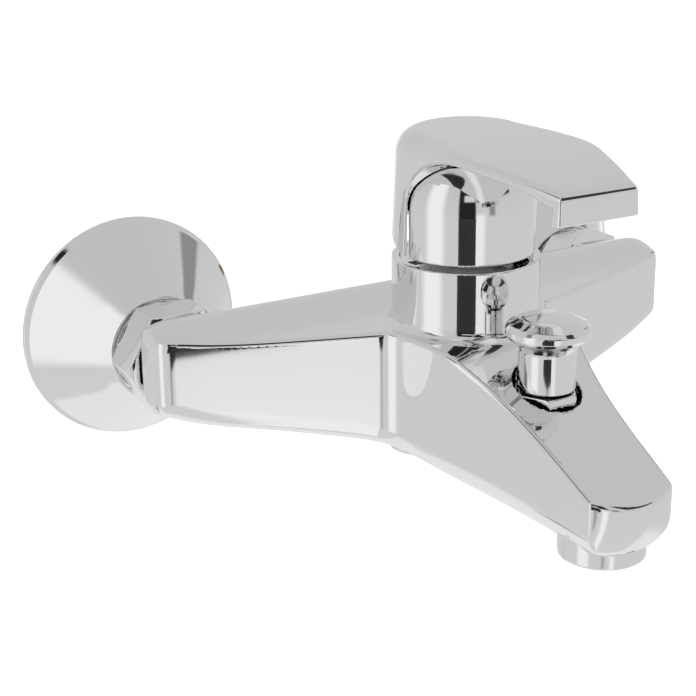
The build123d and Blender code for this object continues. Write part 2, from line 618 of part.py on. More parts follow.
def index_plug():
    """The push-in plug that covers the grub screw."""
    shape = outward(GRUB_R, -HOOD_TOP_R + 1.15, -HOOD_TOP_R + 6, 0, GRUB_Z)
    return shape + outward(3.4, -HOOD_TOP_R - 0.1, -HOOD_TOP_R + 1.15, 0, GRUB_Z)


# ---- Diverter, drawn about its own axis ------------------------------------------------------
def diverter_bonnet():
    """The screwed bonnet: hexagon, stem guide, side windows and the upper seat."""
    shape = hexagon(BONNET_HEX, RECESS_FLOOR_Z, BONNET_TOP_Z)
    shape += upright(BONNET_R, UPPER_SEAT_Z, RECESS_FLOOR_Z)
    shape -= upright(UPPER_SEAT_R, UPPER_SEAT_Z, WINDOW_FLOOR_Z)
    shape -= upright(BONNET_R - 1.8, WINDOW_FLOOR_Z, WINDOW_TOP_Z)
    for turn in (0, 90):
        window = block((-BONNET_R, BONNET_R), (-3.5, 3.5), (WINDOW_FLOOR_Z, WINDOW_TOP_Z))
        shape -= Rot(Z=turn) * window
    shape -= upright(SPINDLE_R + 0.05, WINDOW_TOP_Z, BONNET_TOP_Z)
    return shape - upright(SPINDLE_R + 1.6, BONNET_TOP_Z - 4, BONNET_TOP_Z - 2.2)


def diverter_seal():
    """The ring that seals the spindle in the bonnet."""
    return ring(SPINDLE_R + 1.6, SPINDLE_R + 0.05, BONNET_TOP_Z - 4, BONNET_TOP_Z - 2.2)


def diverter_stem():
    """The spindle, with the flange that carries both valve washers."""
    low = LOWER_SEAT_Z + SEAT_GAP
    shape = upright(SPINDLE_R, low, KNOB_NECK_Z - 1.5)
    return shape + upright(VALVE_R - 1, low + 0.9, low + VALVE_T - 0.9)


def valve_washer(low, high):
    """One rubber valve washer."""
    return ring(VALVE_R, SPINDLE_R, low, high)


def diverter_spring():
    """The return spring, between the upper washer and the bonnet."""
    low = LOWER_SEAT_Z + SEAT_GAP + VALVE_T + 0.1
    return coil(UPPER_SEAT_R - 1.3, 0.35, low, WINDOW_TOP_Z - 0.1, 7)


def diverter_knob():
    """The pull-up knob: hollow skirt, waisted neck and a domed head."""
    shape = turned(
        (0, KNOB_FLOOR_Z), (KNOB_R, KNOB_FLOOR_Z), (KNOB_R, KNOB_NECK_Z - 1.5),
        (KNOB_R + 0.9, KNOB_NECK_Z), (KNOB_HEAD_R - 0.6, KNOB_NECK_Z + 1.6),
        (KNOB_HEAD_R, KNOB_NECK_Z + 2.6), (KNOB_HEAD_R, KNOB_TOP_Z - 4.0),
        (KNOB_HEAD_R - 0.8, KNOB_TOP_Z - 2.8), (KNOB_HEAD_R - 4.4, KNOB_TOP_Z - 0.9),
        (0, KNOB_TOP_Z),
    )
    shape -= upright(KNOB_R - 1.4, KNOB_FLOOR_Z, KNOB_NECK_Z - 3.5)
    shape += upright(SPINDLE_R + 2, BONNET_TOP_Z + 3.2, KNOB_NECK_Z - 3)
    return shape - upright(SPINDLE_R, BONNET_TOP_Z + 3.2, KNOB_NECK_Z - 1.5)


# ---- Aerator and check valve -----------------------------------------------------------------
def aerator_shell():
    """The chromed ring that screws into the spout."""
    top = AERATOR_TOP_Z - AERATOR_WASHER_T
    shape = ring(AERATOR_R, AERATOR_R - 1.8, AERATOR_FLOOR_Z, top)
    return shape + ring(AERATOR_R - 1.8, AERATOR_R - 2.8, AERATOR_FLOOR_Z, AERATOR_FLOOR_Z + 0.8)


def aerator_insert():
    """The plastic flow straightener, drilled with a pattern of holes."""
    shape = upright(AERATOR_R - 1.85, AERATOR_FLOOR_Z + 0.8, AERATOR_TOP_Z - AERATOR_WASHER_T)
    shape -= upright(AERATOR_R - 3.2, AERATOR_FLOOR_Z + 3.4, AERATOR_TOP_Z)
    holes = [(0.0, 0.0)]
    for ring_number in (1, 2, 3):
        for spot in PolarLocations(2.3 * ring_number, 6 * ring_number):
            holes.append((spot.position.X, spot.position.Y))
    drills = [upright(0.75, AERATOR_FLOOR_Z, AERATOR_FLOOR_Z + 4, x, y) for x, y in holes]
    return shape - drills


def aerator_washer():
    """The flat washer above the aerator."""
    return ring(AERATOR_R - 0.1, AERATOR_R - 4, AERATOR_TOP_Z - AERATOR_WASHER_T, AERATOR_TOP_Z)


def check_valve_body():
    """The non-return valve cage, pushed into the shower outlet."""
    floor = SHOWER_END_Z + 0.5
    shape = ring(CHECK_R, CHECK_R - 1.8, floor, CHECK_TOP_Z)
    shape += ring(CHECK_R - 1.8, POPPET_R - 1.1, CHECK_TOP_Z - 1.5, CHECK_TOP_Z)
    shape += block((-CHECK_R + 1.5, CHECK_R - 1.5), (-1, 1), (floor, floor + GUIDE_T - 0.2))
    shape += upright(2.5, floor, floor + GUIDE_T)
    return shape - upright(1.3, floor, floor + GUIDE_T)


def check_valve_poppet():
    """The poppet that closes upwards on its seat."""
    top = CHECK_TOP_Z - 1.5 - SEAT_GAP
    low = SHOWER_END_Z + POPPET_TRAVEL - 0.1
    return upright(POPPET_R, top - POPPET_T, top) + upright(1.2, low, top - POPPET_T)


def check_valve_spring():
    """The light spring under the poppet."""
    high = CHECK_TOP_Z - 1.5 - SEAT_GAP - POPPET_T - 0.05
    return coil(2.2, 0.2, SHOWER_END_Z + 0.5 + GUIDE_T + 0.05, high, 2)


def all_parts():
    """Every node of the assembly, by name, in its place."""
    hub = Pos(0, HUB_Y, 0)
    diverter = Pos(0, DIVERTER_Y, 0)
    aerator = Pos(0, AERATOR_Y, 0)
    shower = Pos(0, -SHOWER_OUT, 0)
    valve_low = LOWER_SEAT_Z + SEAT_GAP
    parts = {"body": body()}
    for side, x in (("left", -INLET_X), ("right", INLET_X)):
        parts[f"escutcheon_{side}"] = escutcheon(x)
        parts[f"eccentric_union_{side}"] = eccentric_union(x)
        parts[f"inlet_washer_{side}"] = inlet_washer(x)
        parts[f"inlet_nipple_{side}"] = inlet_nipple(x)
        parts[f"union_nut_{side}"] = union_nut(x)
    for make in (
        cartridge_base, cartridge_seals, cartridge_housing, housing_clip, fixed_disc, moving_disc,
        disc_carrier, stem_holder, stem_pin, lever_stem, cartridge_nut, dome_cap, handle,
        handle_screw, index_plug,
    ):
        parts[make.__name__] = hub * make()
    for make in (diverter_bonnet, diverter_seal, diverter_stem, diverter_spring, diverter_knob):
        parts[make.__name__] = diverter * make()
    parts["lower_valve_washer"] = diverter * valve_washer(valve_low, valve_low + 0.9)
    parts["upper_valve_washer"] = diverter * valve_washer(valve_low + VALVE_T - 0.9, valve_low + VALVE_T)
    for make in (aerator_shell, aerator_insert, aerator_washer):
        parts[make.__name__] = aerator * make()
    for make in (check_valve_body, check_valve_poppet, check_valve_spring):
        parts[make.__name__] = shower * make()
    return parts


os.makedirs("parts", exist_ok=True)
for name, shape in all_parts().items():
    export_step(shape, f"parts/{name}.step")
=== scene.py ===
"""Looks of the wall mounted bath faucet: chromed shells, threads, finishes, studio and camera.

The pieces are drawn in millimetres in the part's own frame and turned into metres at the end.
"""

from math import atan2, cos, hypot, pi, radians, sin

import bmesh
import bpy
import numpy as np
from mathutils import Matrix, Vector
from mathutils.kdtree import KDTree

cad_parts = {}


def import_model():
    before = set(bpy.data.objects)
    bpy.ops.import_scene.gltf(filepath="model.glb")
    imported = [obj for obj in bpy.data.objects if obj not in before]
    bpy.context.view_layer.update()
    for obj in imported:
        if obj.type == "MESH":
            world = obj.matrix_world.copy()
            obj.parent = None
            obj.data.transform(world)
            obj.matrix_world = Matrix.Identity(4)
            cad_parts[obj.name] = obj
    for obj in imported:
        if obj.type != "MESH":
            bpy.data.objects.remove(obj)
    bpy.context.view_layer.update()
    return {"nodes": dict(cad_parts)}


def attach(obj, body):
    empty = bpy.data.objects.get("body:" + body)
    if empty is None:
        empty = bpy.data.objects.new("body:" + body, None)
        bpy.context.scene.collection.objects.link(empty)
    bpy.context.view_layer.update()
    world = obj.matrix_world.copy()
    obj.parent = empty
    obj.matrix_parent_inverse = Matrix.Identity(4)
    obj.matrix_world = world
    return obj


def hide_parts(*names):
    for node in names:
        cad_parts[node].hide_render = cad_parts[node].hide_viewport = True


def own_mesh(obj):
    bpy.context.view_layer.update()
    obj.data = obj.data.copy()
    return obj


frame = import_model()

MM = 0.001

# ---- Sizes, in millimetres -------------------------------------------------------------------
STEP = 0.15                    # between the points of a drawn line
FAR = 90.0                     # beyond every face of the body
INLET_X = 75.0
END_X = 91.0
REAR_Y = -41.5
END_FRONT_Y = -56.6
CREST_Z = 18.0
DECK_Z = 12.0
HUB_Y = -77.2
ARM_ROOT_X = 30.0
TIP_Y = -162.0
TIP_HALF = 13.5
TIP_BULGE = 5.0
NOSE_Z = -16.6
SPOUT_FLOOR_Z = -33.3
ARM_FLOOR_Z = -12.0
KNEE_Y = -100.0
KNEE_R = 30.0
COLLAR_R = 21.7
COLLAR_TOP_Z = 31.4
COLLAR_FLARE = 2.8
NUT_RING_R = 19.15             # bore for the cartridge nut
NUT_RING_Z = 24.0
CARTRIDGE_R = 17.8             # bore for the cartridge
SEAT_Z = 8.0
DIVERTER_Y = -118.3
RECESS_R = 9.6
RECESS_FLOOR_Z = -5.0
BONNET_BORE_R = 8.95
UPPER_SEAT_Z = -12.5
AERATOR_Y = -145.3
AERATOR_R = 12.0
AERATOR_FLOOR_Z = -35.5
AERATOR_TOP_Z = -25.6
AERATOR_BORE_R = 12.05
AERATOR_BORE_Z = -24.0
SHOWER_Y = -52.0
SHOWER_BOSS_R = 12.5
SHOWER_FACE_Z = -30.0
SHOWER_END_Z = -38.0
CHECK_R = 7.05
CHECK_TOP_Z = -30.3
SPOT_FACE_R = 13.3
TOP_EDGE_R = 1.4               # between the walls and the top faces
UNDER_EDGE_R = 6.0             # between the walls and the underside
PIVOT_Z = 46.0
CAP_R = 20.0
CAP_WALL = 1.5
CAP_FLOOR_Z = 32.8
CAP_OPEN_Z = 60.0
HOOD_INNER_R = 20.45
HOOD_R = 21.7
HOOD_TOP_R = 20.6
HOOD_FLOOR_Z = 33.6
HOOD_TOP_Z = 68.6
LEVER_REACH = 61.5
LEVER_TIP_HALF = 12.6
LEVER_TIP_Z = 63.2
HOOD_TAPER_Z = HOOD_TOP_Z - 7.0   # the hood widens below this
HOOD_REAR_Z = 39.9             # rear edge, which clears the collar when the lever is up
BOSS_R = 7.0                   # the lever's grip on the stem
BOSS_FLOOR_Z = 57.8
BOSS_TOP_Z = 66.0
SQUARE_HALF = 4.05
SQUARE_TOP_Z = 62.5
GRUB_R = 2.5
GRUB_Z = 59.8
PLUG_R = 3.5
WEB_Z = 54.0                   # web across the dome
WEB_TOP_Z = 55.5
NUT_FLATS = 30.0
NUT_FROM_OUT = 26.9            # measured out from the wall
NUT_TO_OUT = 40.9
UNION_R = 15.0
UNION_BORE_R = 9.0
WALL_BORE_R = 7.0
WALL_THREAD_Z = 7.5            # how far the wall thread stands above the inlet
NIPPLE_BORE_R = 10.45
NIPPLE_BORE_Y = -52.0
THREAD_CORE_R = 9.6            # wall and shower threads
COUPLING_CORE_R = 12.3         # union threads
THREAD_PITCH = 1.814
THREAD_RIDGE = 0.86
BONNET_HEX = 15.6
BONNET_TOP_Z = 2.4
WINDOW_Z = -10.5               # the bonnet's side windows
WINDOW_TOP_Z = -6.8

# ---- View and studio -------------------------------------------------------------------------
VIEW_AZIMUTH = radians(-29.04)
FLOOR_Z = -0.12                # metres


# ---- Lines and outlines ----------------------------------------------------------------------
def straight(start, end):
    """Points along a straight run, without its end."""
    start, end = np.array(start, float), np.array(end, float)
    count = max(int(np.linalg.norm(end - start) / STEP), 1)
    return start + (end - start) * np.linspace(0, 1, count, endpoint=False)[:, None]


def through(points, start, end):
    """Points along a smooth curve through points, with its directions at both ends."""
    knots = np.array(points, float)
    spans = np.linalg.norm(np.diff(knots, axis=0), axis=1)
    count = len(knots)
    system, right = np.zeros((count, count)), np.zeros((count, 2))
    for i in range(1, count - 1):
        before, after = spans[i - 1], spans[i]
        system[i, i - 1:i + 2] = after, 2 * (before + after), before
        right[i] = 3 * (after * (knots[i] - knots[i - 1]) / before
                        + before * (knots[i + 1] - knots[i]) / after)
    for i, way in ((0, start), (count - 1, end)):
        system[i, i] = 1
        right[i] = np.array(way, float) / hypot(*way)
    slopes = np.linalg.solve(system, right)
    runs = []
    for i, span in enumerate(spans):
        t = np.linspace(0, 1, max(int(span / STEP), 2), endpoint=False)[:, None]
        runs.append((2 * t**3 - 3 * t**2 + 1) * knots[i] + (3 * t**2 - 2 * t**3) * knots[i + 1]
                    + (t**3 - 2 * t**2 + t) * span * slopes[i] + (t**3 - t**2) * span * slopes[i + 1])
    return np.concatenate(runs)


def cornered(corners, closed=False):
    """Points along straight runs whose corners (x, y, radius) are rounded."""
    corners = [(*c, 0.0)[:3] for c in corners]
    runs, last = [], None
    count = len(corners)
    for i, (x, y, radius) in enumerate(corners):
        here = np.array((x, y), float)
        open_end = not closed and i in (0, count - 1)
        if radius == 0 or open_end:
            enter = leave = here
            arc = None
        else:
            back = np.array(corners[i - 1][:2], float) - here
            ahead = np.array(corners[(i + 1) % count][:2], float) - here
            back, ahead = back / np.linalg.norm(back), ahead / np.linalg.norm(ahead)
            half = np.arccos(np.clip(back @ ahead, -1, 1)) / 2
            enter, leave = here + back * radius / np.tan(half), here + ahead * radius / np.tan(half)
            middle = here + (back + ahead) / np.linalg.norm(back + ahead) * radius / np.sin(half)
            first, second = enter - middle, leave - middle
            turn = atan2(first[0] * second[1] - first[1] * second[0], first @ second)
            angles = np.linspace(0, turn, max(int(abs(turn) * radius / STEP), 8), endpoint=False)
            arc = [middle + (first[0] * cos(a) - first[1] * sin(a),
                             first[0] * sin(a) + first[1] * cos(a)) for a in angles]
        if last is not None:
            runs.append(straight(last, enter))
        if arc is not None:
            runs.append(np.array(arc))
        last = leave
        if i == 0:
            opening = enter
    if closed:
        runs.append(straight(last, opening))
    return np.concatenate(runs)


def hand_of(side):
    return "left" if side < 0 else "right"


def mirrored(half):
    """A closed line from its right half, which starts and ends on the middle."""
    return np.concatenate([half, half[::-1] * (-1, 1)])


class Outline:
    """Signed distance to a closed line, kept on a grid and read back smoothly; negative inside."""

    def __init__(self, line, low, high, pitch=0.4):
        self.low, self.pitch = np.array(low, float) - 3 * pitch, pitch
        u = np.arange(self.low[0], high[0] + 3 * pitch, pitch)
        v = np.arange(self.low[1], high[1] + 3 * pitch, pitch)
        tree = KDTree(len(line))
        for i, (a, b) in enumerate(line):
            tree.insert((a, b, 0), i)
        tree.balance()
        nearest = np.array([tree.find((a, b, 0))[1] for a in u for b in v])
        spot = np.stack(np.meshgrid(u, v, indexing="ij"), -1).reshape(-1, 2)
        best = np.full(len(spot), np.inf)
        for shift in (-1, 0):
            start = line[(nearest + shift) % len(line)]
            run = line[(nearest + shift + 1) % len(line)] - start
            square = np.maximum((run**2).sum(1), 1e-12)
            share = np.clip(((spot - start) * run).sum(1) / square, 0, 1)
            best = np.minimum(best, np.linalg.norm(spot - start - run * share[:, None], axis=1))
        ahead = np.roll(line, -1, axis=0)
        inside = np.zeros((len(u), len(v)), bool)
        for j, level in enumerate(v):
            hit = (line[:, 1] > level) != (ahead[:, 1] > level)
            a, b = line[hit], ahead[hit]
            cross = np.sort(a[:, 0] + (level - a[:, 1]) / (b[:, 1] - a[:, 1]) * (b[:, 0] - a[:, 0]))
            inside[:, j] = np.searchsorted(cross, u) % 2 == 1
        self.grid = np.where(inside, -1, 1) * best.reshape(inside.shape)

    def __call__(self, u, v):
        u, v = np.broadcast_arrays(u, v)
        where, weight = [], []
        for axis, value in enumerate((u, v)):
            place = (value - self.low[axis]) / self.pitch
            cell = np.clip(np.floor(place).astype(int), 1, self.grid.shape[axis] - 3)
            t = np.clip(place - cell, 0, 1)
            where.append(cell)
            weight.append((t * ((2 - t) * t - 1) / 2, (t * t * (3 * t - 5) + 2) / 2,
                           t * ((4 - 3 * t) * t + 1) / 2, (t - 1) * t * t / 2))
        total = 0.0
        for i in range(4):
            for j in range(4):
                total = total + weight[0][i] * weight[1][j] * self.grid[where[0] + i - 1, where[1] + j - 1]
        return total


# ---- Solids as fields ------------------------------------------------------------------------
def both(a, b, r=0.0):
    """What is inside both, with the edge between them rounded."""
    return np.minimum(np.maximum(a, b), -r) + np.hypot(np.maximum(a + r, 0), np.maximum(b + r, 0))


def either(a, b, r=0.0):
    """What is inside one or the other, with the corner between them filled."""
    return np.maximum(np.minimum(a, b), r) - np.hypot(np.maximum(r - a, 0), np.maximum(r - b, 0))


def minus(a, b, r=0.0):
    """The first without the second, with a rounded rim."""
    return both(a, -b, r)


def between(value, low, high):
    return np.maximum(low - value, value - high)


def drum(distance, along, radius, low, high, r=0.0):
    """A round bar, from the distance to its axis and the place along it."""
    return both(distance - radius, between(along, low, high), r)


def six_sided(a, b, flats):
    """A hexagon across flats."""
    sides = [np.abs(a * cos(t) + b * sin(t)) for t in (pi / 6, pi / 2, 5 * pi / 6)]
    return np.maximum(np.maximum(sides[0], sides[1]), sides[2]) - flats / 2


def new_object(name, points, faces, normals=None):
    """A smooth piece from points in millimetres, placed in the part's frame."""
    mesh = bpy.data.meshes.new(name)
    mesh.from_pydata((np.asarray(points) * MM).tolist(), [], np.asarray(faces).tolist())
    mesh.shade_smooth()
    if normals is not None:
        mesh.normals_split_custom_set_from_vertices(normals.tolist())
    piece = bpy.data.objects.new(name, mesh)
    bpy.context.scene.collection.objects.link(piece)
    return piece


def slope(field, points):
    """The field's gradient at points."""
    small, parts = 0.03, []
    for axis in range(3):
        shift = np.zeros(3)
        shift[axis] = small
        ahead, behind = (points + shift).T, (points - shift).T
        parts.append((field(*ahead) - field(*behind)) / (2 * small))
    return np.stack(parts, 1)


def settle(field, points, pitch, rounds=3):
    """Moves points onto the field's surface."""
    for _ in range(rounds):
        gradient = slope(field, points)
        step = field(*points.T) / np.maximum((gradient**2).sum(1), 0.05)
        points = points - gradient * np.clip(step, -pitch, pitch)[:, None]
    return points


def skin(name, field, low, high, pitch):
    """The closed surface of a field, as an even mesh of quads with true normals."""
    axes = [np.arange(a - 1.3 * pitch, b + 2 * pitch, pitch) for a, b in zip(low, high)]
    x, y, z = np.meshgrid(*axes, indexing="ij", sparse=True)
    inside = np.broadcast_to(field(x, y, z), [len(a) for a in axes]) < 0
    cells = [slice(None, -1), slice(1, None)]
    count = sum(inside[i, j, k].astype(np.int8) for i in cells for j in cells for k in cells)
    active = (count > 0) & (count < 8)
    number = np.full(active.shape, -1)
    number[active] = np.arange(active.sum())
    points = np.argwhere(active) * pitch + [a[0] + pitch / 2 for a in axes]
    quads = []
    for axis in range(3):
        first, second = (axis + 1) % 3, (axis + 2) % 3
        turned = np.moveaxis(inside, (axis, first, second), (0, 1, 2))
        ids = np.moveaxis(number, (axis, first, second), (0, 1, 2))
        low_in, high_in = turned[:-1, 1:-1, 1:-1], turned[1:, 1:-1, 1:-1]
        change = np.argwhere(low_in != high_in)
        i, j, k = change.T
        ring = np.stack([ids[i, j, k], ids[i, j + 1, k], ids[i, j + 1, k + 1], ids[i, j, k + 1]], 1)
        outward = low_in[i, j, k]
        quads.append(np.where(outward[:, None], ring, ring[:, ::-1]))
    quads = np.concatenate(quads)
    points = settle(field, points, pitch)
    ends = np.concatenate([quads[:, [i, (i + 1) % 4]] for i in range(4)])
    for _ in range(4):
        total = np.stack([np.bincount(ends[:, 0], points[ends[:, 1], c], len(points)) for c in range(3)], 1)
        mean = total / np.maximum(np.bincount(ends[:, 0], minlength=len(points)), 1)[:, None]
        points = settle(field, points * 0.4 + mean * 0.6, pitch, 2)
    normals = slope(field, points)
    normals /= np.maximum(np.linalg.norm(normals, axis=1), 1e-9)[:, None]
    return new_object(name, points, quads, normals)


# ---- Body ------------------------------------------------------------------------------------
def plan_line():
    """The body seen from above."""
    root = (ARM_ROOT_X, HUB_Y - 0.3)
    arm = (END_X - root[0], END_FRONT_Y - root[1])
    bulge_r = (TIP_HALF**2 + TIP_BULGE**2) / (2 * TIP_BULGE)
    spread = np.linspace(0, np.arcsin(TIP_HALF / bulge_r), 120, endpoint=False)
    tip = np.stack([bulge_r * np.sin(spread), TIP_Y + bulge_r * (1 - np.cos(spread))], 1)
    neck = through(
        [(TIP_HALF, TIP_Y + TIP_BULGE), (TIP_HALF + 2.1, DIVERTER_Y - 8.7),
         (COLLAR_R - 2.4, DIVERTER_Y + 8.3), (COLLAR_R + 1.5, HUB_Y - 18.8),
         (COLLAR_R + 3.2, HUB_Y - 8.8), root], (0.06, 1), arm)
    rest = cornered([root, (END_X, END_FRONT_Y, 5.0), (END_X, REAR_Y, 3.0), (0, REAR_Y)])
    return mirrored(np.concatenate([tip, neck, rest]))


def top_line():
    """The body's top seen from its right end, closed far below."""
    crest = through(
        [(REAR_Y, CREST_Z - 8.0), (REAR_Y - 2.1, CREST_Z - 2.2), (REAR_Y - 7.0, CREST_Z),
         (REAR_Y - 12.5, CREST_Z - 2.2), (REAR_Y - 18.5, DECK_Z + 1.0), (REAR_Y - 28.5, DECK_Z)],
        (0, 1), (-1, 0))
    fall = (NOSE_Z - DECK_Z) / (TIP_Y - 2 - KNEE_Y)
    far = TIP_Y - 30
    run = cornered([(REAR_Y - 28.5, DECK_Z), (KNEE_Y, DECK_Z, KNEE_R),
                    (far, DECK_Z + (far - KNEE_Y) * fall), (far, -FAR), (REAR_Y, -FAR),
                    (REAR_Y, CREST_Z - 8.0)])
    return np.concatenate([crest, run])


def belly_line():
    """The body's nose and underside seen from its right end, closed far above."""
    floor_z = SPOUT_FLOOR_Z - 0.2
    nose = through(
        [(TIP_Y - 2, NOSE_Z), (TIP_Y + 0.4, -26.0), (TIP_Y + 9.0, floor_z)], (0.12, -1), (1, -0.05))
    rear = through(
        [(REAR_Y - 24.5, SPOUT_FLOOR_Z + 0.8), (REAR_Y - 12.5, SPOUT_FLOOR_Z + 5.8),
         (REAR_Y - 4.0, SPOUT_FLOOR_Z + 15.8), (REAR_Y, ARM_FLOOR_Z + 4.0)], (1, 0.05), (0.2, 1))
    return np.concatenate([
        nose, straight((TIP_Y + 9.0, floor_z), (REAR_Y - 24.5, SPOUT_FLOOR_Z + 0.8)), rear,
        cornered([(REAR_Y, ARM_FLOOR_Z + 4.0), (REAR_Y, FAR), (TIP_Y - 2, FAR), (TIP_Y - 2, NOSE_Z)])])


def front_line():
    """The body's underside and ends seen from the front, closed far above."""
    under = through(
        [(0, SPOUT_FLOOR_Z), (TIP_HALF, SPOUT_FLOOR_Z + 3.9), (ARM_ROOT_X - 6, SPOUT_FLOOR_Z + 8.4),
         (INLET_X * 0.56, ARM_FLOOR_Z - 8.2), (INLET_X * 0.81, ARM_FLOOR_Z - 4.6),
         (END_X - 9, ARM_FLOOR_Z)], (1, 0), (1, 0.33))
    rest = cornered([(END_X - 9, ARM_FLOOR_Z), (END_X, ARM_FLOOR_Z + 3, 5.0),
                     (END_X, CREST_Z + 0.5, 9.0), (0, CREST_Z + 0.5)])
    return mirrored(np.concatenate([under, rest]))


def body_piece():
    """The cast body with its collar, pockets and the shower outlet's core."""
    plan = Outline(plan_line(), (-95, -166), (95, -37))
    top = Outline(top_line(), (-166, -45), (-37, 36))
    belly = Outline(belly_line(), (-166, -45), (-37, 36))
    front = Outline(front_line(), (-95, -45), (95, 36))

    def field(x, y, z):
        walls = both(plan(x, y), top(y, z), TOP_EDGE_R)
        shape = both(walls, both(belly(y, z), front(x, z), 4.0), UNDER_EDGE_R)
        hub = np.hypot(x, y - HUB_Y)
        shape = either(shape, drum(hub, z, COLLAR_R, ARM_FLOOR_Z, COLLAR_TOP_Z, 0.5), COLLAR_FLARE)
        outlet = np.hypot(x, y - SHOWER_Y)
        shape = either(shape, drum(outlet, z, SHOWER_BOSS_R, SHOWER_FACE_Z, ARM_FLOOR_Z, 0.6), 3.0)
        shape = minus(shape, drum(outlet, z, SPOT_FACE_R, -FAR, SHOWER_FACE_Z), 0.3)
        shape = either(shape, drum(outlet, z, THREAD_CORE_R, SHOWER_END_Z, ARM_FLOOR_Z, 0.6))
        shape = minus(shape, drum(outlet, z, CHECK_R, SHOWER_END_Z - 5, CHECK_TOP_Z), 0.4)
        shape = minus(shape, drum(hub, z, NUT_RING_R, NUT_RING_Z, FAR), 0.4)
        shape = minus(shape, drum(hub, z, CARTRIDGE_R, SEAT_Z, FAR))
        pocket = np.hypot(x, y - DIVERTER_Y)
        shape = minus(shape, drum(pocket, z, RECESS_R, RECESS_FLOOR_Z, FAR), 0.5)
        shape = minus(shape, drum(pocket, z, BONNET_BORE_R, UPPER_SEAT_Z, FAR))
        mouth = np.hypot(x, y - AERATOR_Y)
        shape = minus(shape, drum(mouth, z, AERATOR_BORE_R, -FAR, AERATOR_BORE_Z), 0.4)
        inlet = np.hypot(np.abs(x) - INLET_X, z)
        return minus(shape, drum(inlet, y, NIPPLE_BORE_R, NIPPLE_BORE_Y, 0.0), 0.6)

    return skin("body_shell", field, (-END_X, TIP_Y, SHOWER_END_Z), (END_X, -39.5, COLLAR_TOP_Z), 0.8)


# ---- Lever and dome --------------------------------------------------------------------------
def lever_plan_line():
    """The lever seen from above, about the hub axis."""
    rear = np.linspace(-pi / 2, 0, 220, endpoint=False)
    arc = np.stack([HOOD_TOP_R * np.cos(rear), -HOOD_TOP_R * np.sin(rear)], 1)
    side = through(
        [(HOOD_TOP_R, 0), (HOOD_TOP_R + 0.6, -10), (HOOD_TOP_R + 1.0, -23), (HOOD_TOP_R + 0.3, -33),
         (18.7, -40.7), (16.2, -49), (LEVER_TIP_HALF, -LEVER_REACH + 0.8)], (0, -1), (-0.3, -1))
    end = cornered([(LEVER_TIP_HALF, -LEVER_REACH + 0.8), (LEVER_TIP_HALF - 0.25, -LEVER_REACH, 0.6),
                    (0, -LEVER_REACH - 0.02)])
    return mirrored(np.concatenate([arc, side, end]))


def lever_top_line():
    """The lever's top seen from the right, closed far below."""
    fall = through(
        [(-4, HOOD_TOP_Z), (-22, HOOD_TOP_Z - 0.45), (-34, HOOD_TOP_Z - 1.3), (-48, HOOD_TOP_Z - 2.9),
         (-LEVER_REACH, LEVER_TIP_Z), (-LEVER_REACH - 8, LEVER_TIP_Z - 2.1)], (-1, 0), (-1, -0.27))
    rest = cornered([(-LEVER_REACH - 8, LEVER_TIP_Z - 2.1), (-LEVER_REACH - 8, 0), (30, 0),
                     (30, HOOD_TOP_Z), (-4, HOOD_TOP_Z)])
    return np.concatenate([fall, rest])


def lever_under_line():
    """What is left open below the hood's rear edge and under the blade."""
    blade_z, chin_y = LEVER_TIP_Z - 3.4, -LEVER_REACH + 2.6
    arch = through(
        [(-1.0, PIVOT_Z + 4), (-5.0, HOOD_TOP_Z - 11.3), (-13.5, HOOD_TOP_Z - 6.3),
         (-25.0, HOOD_TOP_Z - 3.8), (-38.0, HOOD_TOP_Z - 4.4), (-50.0, HOOD_TOP_Z - 6.2),
         (chin_y, blade_z)], (0, 1), (-1, -0.16))
    tip = (-LEVER_REACH - 6, LEVER_TIP_Z - 8.4)
    rest = cornered([(chin_y, blade_z), (chin_y, tip[1]), tip, (tip[0], 5), (30, 5),
                     (30, HOOD_REAR_Z + 3.4), (HOOD_R, HOOD_REAR_Z + 0.4),
                     (-0.8, HOOD_FLOOR_Z), (-1.0, PIVOT_Z + 4)])
    return np.concatenate([arch, rest])


def lever_piece():
    """The lever: hood, blade with its turned-down front edge, and the boss on the stem."""
    plan = Outline(lever_plan_line(), (-24, -66), (24, 25), 0.3)
    top = Outline(lever_top_line(), (-66, 30), (25, 72), 0.3)
    under = Outline(lever_under_line(), (-66, 30), (25, 72), 0.3)
    taper = (HOOD_R - HOOD_TOP_R) / (HOOD_TAPER_Z - HOOD_FLOOR_Z)

    def field(x, y, z):
        y = y - HUB_Y
        sides = plan(x, y) - np.maximum(HOOD_TAPER_Z - z, 0) * taper
        share = np.clip(-y / 36, 0, 1)
        edge = 2.1 + 4.9 * (1 - share * share * (3 - 2 * share))   # rounder over the hood than at the tip
        shape = both(sides, top(y, z), edge)
        shape = minus(shape, under(y, z), 0.5)
        dome = np.sqrt(x * x + y * y + np.maximum(z - PIVOT_Z, 0) ** 2) - HOOD_INNER_R
        shape = minus(shape, dome, 0.3)
        axis = np.hypot(x, y)
        shape = either(shape, drum(axis, z, BOSS_R, BOSS_FLOOR_Z, BOSS_TOP_Z, 0.3), 0.8)
        square = np.maximum(np.abs(x), np.abs(y)) - SQUARE_HALF
        shape = minus(shape, np.maximum(square, between(z, 50, SQUARE_TOP_Z)))
        screw = np.hypot(x, z - GRUB_Z)
        shape = minus(shape, drum(screw, y, GRUB_R, 0, 30))
        return minus(shape, drum(screw, y, PLUG_R, HOOD_TOP_R - 1.2, 30), 0.25)

    return skin("lever_shell", field, (-22, HUB_Y - 61.6, 33.5), (22, HUB_Y + 21.8, 68.7), 0.5)


